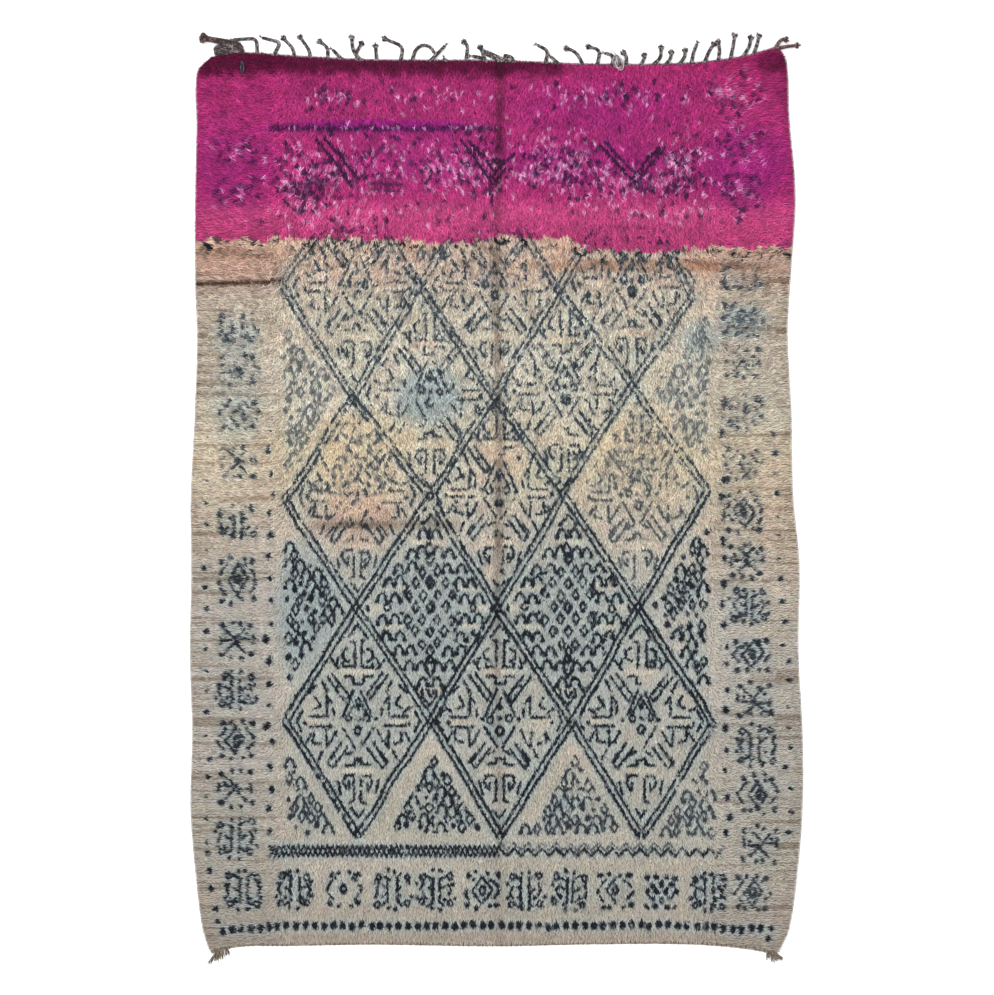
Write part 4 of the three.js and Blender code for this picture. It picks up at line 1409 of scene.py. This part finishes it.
@dataclass(frozen=True)
class Plait:
    """How a plait of three plies is made: its width, height, the length of one turn and its colours."""

    width: float = 0.0120
    height: float = 0.0078
    pitch: float = 0.0150
    shade: Shade = Shade((42, 36, 38), (146, 138, 136), 0.27)

    def lay(
        self, threads: Threads, path: Array, lift: float = 0.0006, knot_from: float | None = None
    ) -> None:
        """Lays the plait along a path on the floor, with a knot and a frayed end.

        Args:
            threads: What takes its plies.
            path: The points it follows.
            lift: How far it is clear of the floor.
            knot_from: How far before its end its knot sits, or None where it has none.
        """
        step = np.gradient(path, axis=0)
        step /= np.linalg.norm(step, axis=1, keepdims=True)
        side = np.stack([step[:, 1], -step[:, 0]], axis=1)
        run = np.concatenate([[0], np.cumsum(np.linalg.norm(np.diff(path, axis=0), axis=1))])
        ply = self.width * 0.25
        stop = run[-1] - (knot_from if knot_from is not None else self.width)
        keep = run <= stop + 1e-6
        thin = np.interp(run, (0, stop * 0.9, stop), (1.12, 1.0, 0.9))
        for k in range(3):
            turn = 2 * math.pi * (run / self.pitch + k / 3)
            off = (self.width / 2 - ply) * np.sin(turn) * thin
            rise = lift + self.height / 2 + (self.height / 2 - ply) * np.sin(2 * turn)
            points = np.column_stack([path + side * off[:, None], rise])
            threads.add(points[keep], ply * thin[keep], self.shade)
        last = int(np.argmin(np.abs(run - stop)))
        end = (path[last], step[last], side[last])
        if knot_from is not None:
            self.tie(threads, end, lift)
        self.fray(threads, end, lift, run[-1] - stop)

    def tie(self, threads: Threads, end: tuple[Array, Array, Array], lift: float) -> None:
        """Ties an overhand knot.

        Args:
            threads: What takes it.
            end: Its place, its heading and its side.
            lift: How far it is clear of the floor.
        """
        place, step, side = end
        t = np.linspace(0, 2 * math.pi, 25)
        u = (np.sin(t) + 2 * np.sin(2 * t)) / 3 * self.width * 0.72
        v = (np.cos(t) - 2 * np.cos(2 * t)) / 3 * self.width * 0.6
        w = lift + self.height * 0.62 - np.sin(3 * t) * self.height * 0.24
        points = np.column_stack([place + side * u[:, None] + step * v[:, None], w])
        threads.add(points, self.width * 0.25, self.shade)

    def fray(self, threads: Threads, end: tuple[Array, Array, Array], lift: float, long: float) -> None:
        """Frays what is left of the plait beyond its knot.

        Args:
            threads: What takes the hairs.
            end: Where the plait stops, its heading and its side.
            lift: How far it is clear of the floor.
            long: How far the hairs reach.
        """
        place, step, side = end
        share = np.linspace(0, 1, 5)
        for _ in range(7):
            fan, bow = threads.rng.normal(0, 0.42), threads.rng.normal(0, 0.25)
            reach = long * threads.rng.uniform(0.7, 1.0)
            off = reach * (math.sin(fan) * share + bow * share**2 * 0.6)
            points = place + step * (reach * math.cos(fan) * share)[:, None] + side * off[:, None]
            high = lift + 0.0018 + self.height * 0.5 * (1 - share) * threads.rng.uniform(0.4, 1.3)
            threads.add(np.column_stack([points, high]), self.width * 0.13 * (1 - 0.6 * share), self.shade)


@dataclass
class Trim:
    """A piece made of yarns, which are gathered one by one and then swept together."""

    plan: Plan
    name: str
    sides: int
    seed: int

    def gather(self, threads: Threads) -> None:
        """Adds the piece's yarns, which differ from kind to kind."""
        raise NotImplementedError

    def build(self, wool: bpy.types.Material) -> bpy.types.Object:
        """Makes the piece.

        Args:
            wool: Its material.

        Returns:
            The piece.
        """
        threads = Threads(self.sides, self.seed)
        self.gather(threads)
        return threads.sweep(self.name, wool)

    def foot(self, at: float, inset: float) -> Point:
        """Where a strand leaves the plaited end, for its place in millimetres."""
        return at / 1000, float(self.plan.top(at / 1000)) - inset


@dataclass
class PlaitedEnds(Trim):
    """The plaited and knotted warp ends along the top end, with the narrow edge that they leave."""

    knot_from: float = 0.0145
    inset: float = 0.005
    lift: float = 0.0006
    over: tuple[int, ...] = (7, 11, 16, 17, 20)
    over_lift: float = 0.0022
    binding: tuple[float, float, float] = (-0.80, 0.866, 0.0052)
    binding_radius: float = 0.0013

    STRANDS = (
        (-754, 129, 0, -93, 0.22, 0.5, False), (-702, 112, 28, -104, 0.28, 0.5, False),
        (-638, 83, 0, -42, 0.05, 0.5, True), (-587, 87, -4, -32, 0.05, 0.5, True),
        (-532, 79, 0, -52, 0.3, 0.6, True), (-484, 58, -46, 2, 0.2, 0.8, False),
        (-440, 70, -6, 36, 0.2, 0.5, True), (-424, 96, -48, 44, 0.1, 0.7, True),
        (-378, 62, -4, -2, 0.2, 0.8, True), (-304, 120, 12, -80, 0.2, 0.55, True),
        (-267, 126, 14, 150, 0.1, 1.0, False), (-211, 82, 44, 0, 0.2, 0.8, False),
        (-158, 26, -38, 0, 0.2, 0.8, False), (-98, 80, 7, -72, 0.45, 0.9, True),
        (-38, 62, -15, -12, 0.3, 0.8, True), (-30, 64, -56, -24, 0.1, 0.6, False),
        (14, 72, -62, -4, 0.3, 0.8, False), (40, 94, -66, 2, 0.3, 0.8, False),
        (52, 48, -14, -110, 0.05, 0.9, True), (151, 90, 12, -74, 0.3, 0.6, False),
        (195, 50, -48, 0, 0.2, 0.8, False), (270, 90, -26, -52, 0.2, 0.9, True),
        (314, 94, 12, -88, 0.3, 0.7, True), (361, 71, 10, -85, 0.25, 0.6, False),
        (405, 56, 4, -52, 0.3, 0.8, True), (449, 51, 30, -72, 0.4, 0.9, True),
        (487, 79, 48, -46, 0.25, 0.65, True), (528, 60, 38, -38, 0.3, 0.7, True),
        (570, 66, 38, -40, 0.3, 0.7, True), (609, 80, 12, 10, 0.3, 0.7, False),
        (650, 82, 22, 12, 0.3, 0.7, True), (694, 77, 8, -22, 0.3, 0.7, True),
        (732, 90, 12, -4, 0.3, 0.7, True), (769, 84, 34, -26, 0.3, 0.7, True),
        (804, 76, 20, -8, 0.3, 0.7, True),
    )

    def gather(self, threads: Threads) -> None:
        """Plaits every warp end, then binds the edge with small loops of the ground yarn.

        Args:
            threads: What takes them.
        """
        for i, row in enumerate(self.STRANDS):
            strand = Strand(*row)
            lift = self.lift + (self.over_lift if i in self.over else 0.0)
            path = strand.path(self.foot(strand.at, self.inset))
            Plait().lay(threads, path, lift, self.knot_from if strand.knot else None)
        for x in np.arange(*self.binding):
            slant = threads.rng.normal(0, 0.0012)
            loop = np.array([(0, -0.004, 0.0062), (slant * 0.5, 0.0014, 0.0058), (slant, 0.0026, 0.0012)])
            loop += (x, float(self.plan.top(x)), 0.0)
            threads.add(loop, self.binding_radius, Shade((84, 60, 66), (176, 160, 158), 0.45))


@dataclass
class LeftCorner(Trim):
    """The thick dark plait at the top left, with the wool packed under it and a small tail on the pile."""

    strand: Strand = Strand(-803, 160, -6, -74, 0.04, 0.28, True)
    rope: Plait = Plait(0.0205, 0.0130, 0.030, Shade((44, 30, 32), (100, 78, 76), 0.2))
    ball: tuple[float, float, float] = (-0.853, 1.4275, 0.0075)
    ball_yarns: int = 300
    ball_radius: float = 0.0010
    tail: Point = (242.6, 68.0)
    tail_radius: float = 0.0016

    def gather(self, threads: Threads) -> None:
        """Plaits the rope, packs the wool and adds the tail.

        Args:
            threads: What takes them.
        """
        path = self.strand.path(self.foot(self.strand.at, 0.004), 0.003)
        self.rope.lay(threads, path, 0.0008, 0.02)
        rng = threads.rng
        for _ in range(self.ball_yarns):
            turn, tilt = rng.uniform(0, 2 * math.pi), rng.uniform(-0.6, 1.2)
            u = np.linspace(0, rng.uniform(0.7, 2.0), 6)
            across = np.cos(turn + u * rng.choice((-1, 1))) * rng.uniform(0.4, 1.0)
            along = np.sin(turn + u) * rng.uniform(0.4, 1.0)
            rise = 0.0045 * np.sin(tilt + u * 0.8) + rng.normal(0, 0.0008)
            wound = np.stack([across * 0.038, along * 0.018 + across * 0.002, rise], axis=1)
            pale = rng.random() < 0.02 + 0.16 * float(across.mean())
            shades = ((150, 146, 142), (212, 208, 204)) if pale else ((40, 28, 32), (150, 138, 136))
            threads.add(np.array(self.ball) + wound, self.ball_radius, Shade(*shades, 0.12))
        t = np.linspace(0, 2 * math.pi, 17)
        for k in range(3):
            x = rug_x(self.tail[0]) + 0.0052 * np.sin(t) * (0.6 + 0.2 * k)
            y = rug_y(self.tail[1]) + 0.019 * np.cos(t) * (0.8 + 0.1 * k)
            shades = ((24, 26, 36), (74, 84, 100)) if k else ((20, 20, 26), (52, 60, 72))
            points = np.stack([x, y, 0 * t + 0.0165 + 0.0008 * k], axis=1)
            threads.add(points, self.tail_radius, Shade(*shades, 0.25))


@dataclass
class RightCorner(Trim):
    """The two plaits at the top right."""

    strands: tuple[Strand, ...] = (
        Strand(870, 66, 34, 100, 0.35, 1.0, True),
        Strand(872, 84, 78, 10, 0.2, 1.0, True),
    )
    rope: Plait = Plait(0.0120, 0.0084, 0.018, Shade((66, 44, 48), (140, 118, 114), 0.25))

    def gather(self, threads: Threads) -> None:
        """Plaits both, the second a little higher."""
        for i, strand in enumerate(self.strands):
            self.rope.lay(threads, strand.path(self.foot(strand.at, 0.006)), 0.0008 + 0.002 * i, 0.016)


@dataclass
class CornerTuft(Trim):
    """A frayed tuft of warps and goat hair at a bottom corner."""

    locks: tuple[tuple[float, float, float], ...]
    turn: float
    shade: Shade = Shade((84, 74, 64), (160, 146, 128), 0.3)
    hairs: int = 16
    hops: int = 6

    def gather(self, threads: Threads) -> None:
        """Lays the tuft's hairs.

        Args:
            threads: What takes them.
        """
        rng, share = threads.rng, np.linspace(0, 1, self.hops + 1)
        for at, long, lean in self.locks:
            for _ in range(self.hairs):
                x = at / 1000 + rng.normal(0, 0.0022)
                y = float(self.plan.bottom(x)) + 0.006
                heading = np.radians(lean + rng.normal(0, 11) + (self.turn + rng.normal(0, 14)) * share)[:-1]
                hop = (long + 6) / 1000 * rng.uniform(0.6, 1.03) / self.hops
                px = x + np.concatenate([[0], np.cumsum(np.sin(heading) * hop)])
                py = y + np.concatenate([[0], np.cumsum(np.cos(heading) * hop)])
                pz = 0.0052 * (1 - share) * rng.uniform(0.5, 1.1) + 0.0009
                threads.add(np.stack([px, py, pz], axis=1), 0.0018 * (1 - 0.5 * share), self.shade)


@dataclass
class OvercastSides(Trim):
    """The overcast long sides."""

    pitch: float = 0.0062
    radius: float = 0.0012
    dark_share: float = 0.34

    def gather(self, threads: Threads) -> None:
        """Overcasts both long sides.

        Args:
            threads: What takes the stitches.
        """
        rng = threads.rng
        for hand in (-1, 1):
            for down in np.arange(0.012, self.plan.length - 0.008, self.pitch):
                x, y = (float(value) for value in self.plan.place((1 + hand) / 2, down))
                slant, out = rng.normal(0, 0.0008), 0.0012 + rng.uniform(0, 0.001)
                over = ((-0.0055, slant, 0.0052), (-0.001, slant * 0.6, 0.0052))
                under = ((out, 0, 0.0028), (-0.001, -slant, 0.0016))
                points = np.array([(x + hand * u, y + v, w) for u, v, w in over + under])
                dark = rng.random() < self.dark_share
                shades = ((46, 38, 36), (84, 72, 66)) if dark else ((128, 114, 102), (176, 164, 148))
                threads.add(points, self.radius, Shade(*shades, 0.3))


@dataclass
class WovenEnd(Trim):
    """The bare woven end with its dark ticks."""

    across: tuple[float, float, float] = (-0.885, 0.868, 0.0075)
    rows: int = 4
    radius: float = 0.00135
    tick_radius: float = 0.0011

    def gather(self, threads: Threads) -> None:
        """Weaves the end's rows, then whips them with short stitches.

        Args:
            threads: What takes them.
        """
        across = np.arange(*self.across)
        for row in range(self.rows):
            wave = across * 420 + row * math.pi
            y = self.plan.bottom(across) + 0.0012 + row * 0.0025 + 0.0005 * np.sin(wave)
            points = np.stack([across, y, 0.0030 + 0.0006 * np.cos(wave)], axis=1)
            threads.add(points, self.radius, Shade((132, 120, 108), (176, 166, 150), 0.35))
        for x in across[::2]:
            if threads.rng.random() < 0.6:
                points = np.array([(0, 0.009, 0.0044), (0.0006, 0.003, 0.0049), (0, -0.0012, 0.0014)])
                points += (x, float(self.plan.bottom(x)), 0.0)
                threads.add(points, self.tick_radius, Shade((54, 46, 44), (110, 98, 90), 0.2))


@dataclass
class Tangle(Trim):
    """The small tangle of grey yarn that lies over the edge and the pile."""

    centre: Point = (617.5, 62.0)
    loops: int = 15
    radius: float = 0.0009

    def gather(self, threads: Threads) -> None:
        """Lays the loose loops.

        Args:
            threads: What takes them.
        """
        rng = threads.rng
        for i in range(self.loops):
            t = np.linspace(0, rng.uniform(1.2, 2.4) * math.pi, 14)
            wide, tall = rng.uniform(0.006, 0.016), rng.uniform(0.014, 0.026)
            tilt = rng.normal(0.25, 0.35)
            u, v = np.sin(t + i) * wide, np.cos(t + i) * tall
            x = rug_x(self.centre[0]) + u * math.cos(tilt) - v * math.sin(tilt) + rng.normal(0, 0.004)
            y = rug_y(self.centre[1]) + u * math.sin(tilt) + v * math.cos(tilt) + rng.normal(0, 0.005)
            z = 0.0145 + 0.0022 * np.sin(t * 1.7 + i)
            shades = ((74, 64, 68), (150, 140, 142)) if i % 3 else ((176, 168, 168), (214, 208, 206))
            threads.add(np.stack([x, y, z], axis=1), self.radius, Shade(*shades, 0.3))


@dataclass
class Studio:
    """The floor, the lights and the camera."""

    distance: float = 8.0
    field_of_view: float = 994 * UNIT
    centre: Point = (0.0, 6.5 * UNIT)
    sensor: float = 36.0

    def build(self) -> None:
        """Sets up the studio."""
        corners = np.array([(-9, -9, 0), (9, -9, 0), (9, 9, 0), (-9, 9, 0)], float)
        floor = new_object("floor", corners, [(0, 1, 2, 3)])
        paper = bpy.data.materials.new("floor paper")
        paper.use_nodes = True
        tree = Tree(paper.node_tree)
        shader = paper.node_tree.nodes["Principled BSDF"]
        place = tree.add("ShaderNodeTexCoord")
        grain = tree.add("ShaderNodeTexNoise", {"Vector": place.outputs["Object"], "Scale": 60.0})
        tone = tree.add("ShaderNodeMapRange", {"Value": grain.outputs["Fac"], "To Min": 0.93, "To Max": 0.95})
        paper.node_tree.links.new(tone.outputs[0], shader.inputs["Base Color"])
        shader.inputs["Roughness"].default_value = 0.9
        floor.data.materials.append(paper)
        world = bpy.data.worlds.new("studio")
        world.use_nodes = True
        sky = world.node_tree.nodes["Background"].inputs
        sky["Color"].default_value = (1.0, 1.0, 1.0, 1.0)
        sky["Strength"].default_value = 1.04
        scene = bpy.context.scene
        scene.world = world
        self.lamp("key light", (-2.6, 2.6, 4.2), 3.0, 210.0)
        self.lamp("fill light", (2.8, -1.6, 4.6), 3.5, 80.0)
        self.camera()
        scene.view_settings.view_transform, scene.view_settings.look = "Standard", "None"

    def lamp(self, name: str, place: tuple[float, float, float], size: float, power: float) -> None:
        """Hangs one soft square lamp that points at the rug's middle.

        Args:
            name: Its name.
            place: Where it hangs.
            size: The length of its sides.
            power: Its power in watts.
        """
        data = bpy.data.lights.new(name, "AREA")
        data.size, data.energy = size, power
        lamp = bpy.data.objects.new(name, data)
        lamp.location = place
        lamp.rotation_euler = (-Vector(place)).to_track_quat("-Z", "Y").to_euler()
        bpy.context.scene.collection.objects.link(lamp)

    def camera(self) -> None:
        """Hangs the camera straight over the rug."""
        data = bpy.data.cameras.new("camera")
        data.sensor_width = self.sensor
        data.lens = self.sensor * self.distance / self.field_of_view
        data.clip_end = 60.0
        camera = bpy.data.objects.new("camera", data)
        camera.location = (self.centre[0], self.centre[1], self.distance + 0.012)
        bpy.context.scene.collection.objects.link(camera)
        bpy.context.scene.camera = camera


# Each lock's place across and its length in millimetres, and its heading in degrees.
LEFT_TUFT = ((-880, 46, 194), (-871, 30, 186), (-861, 28, 178), (-850, 24, 168))
RIGHT_TUFT = ((852, 24, 182), (861, 29, 168), (868, 32, 152), (871, 31, 134))


def main() -> None:
    """Builds the rug piece by piece and reports each."""
    logging.basicConfig(level=logging.INFO, format="%(message)s")
    Studio().build()
    plan, design = Plan(), Design()
    LOG.info("design charted")
    ground = GroundWeave(plan, design).build()
    strips = Pile(plan, design).build()
    wool = WoolFinish("plaited yarn", 1.0, 0.3, 700.0, 0.1, 0.95, 0.5).material()
    hair = WoolFinish("goat hair", 1.0, 0.35, 900.0, 0.15, 0.85, 0.4).material()
    plaits = PlaitedEnds(plan, "plaited_ends", 5, 17).build(wool)
    left = LeftCorner(plan, "left_corner_plait", 5, 23).build(hair)
    right = RightCorner(plan, "right_corner_plaits", 5, 29).build(wool)
    tuft_left = CornerTuft(plan, "left_corner_tuft", 3, 16, LEFT_TUFT, 12).build(hair)
    tuft_right = CornerTuft(plan, "right_corner_tuft", 3, 17, RIGHT_TUFT, -12).build(hair)
    sides = OvercastSides(plan, "overcast_sides", 4, 31).build(wool)
    end = WovenEnd(plan, "woven_end", 4, 37).build(wool)
    tangle = Tangle(plan, "yarn_tangle", 4, 43).build(wool)
    slots = {
        "pile": [ground, *strips, sides, end, tangle],
        "plaits": [plaits, right],
        "goat_hair": [left, tuft_left, tuft_right],
    }
    for slot, pieces in slots.items():
        for piece in pieces:
            triangles = sum(len(face.vertices) - 2 for face in piece.data.polygons)
            LOG.info("%s: %d triangles", piece.name, triangles)
            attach(piece, BODY)
    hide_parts("rug_field")
    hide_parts("top_fringe")
    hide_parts("corner_plait_left")
    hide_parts("corner_plait_right")
    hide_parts("corner_tuft_left")
    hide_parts("corner_tuft_right")


if __name__ == "__main__":
    main()
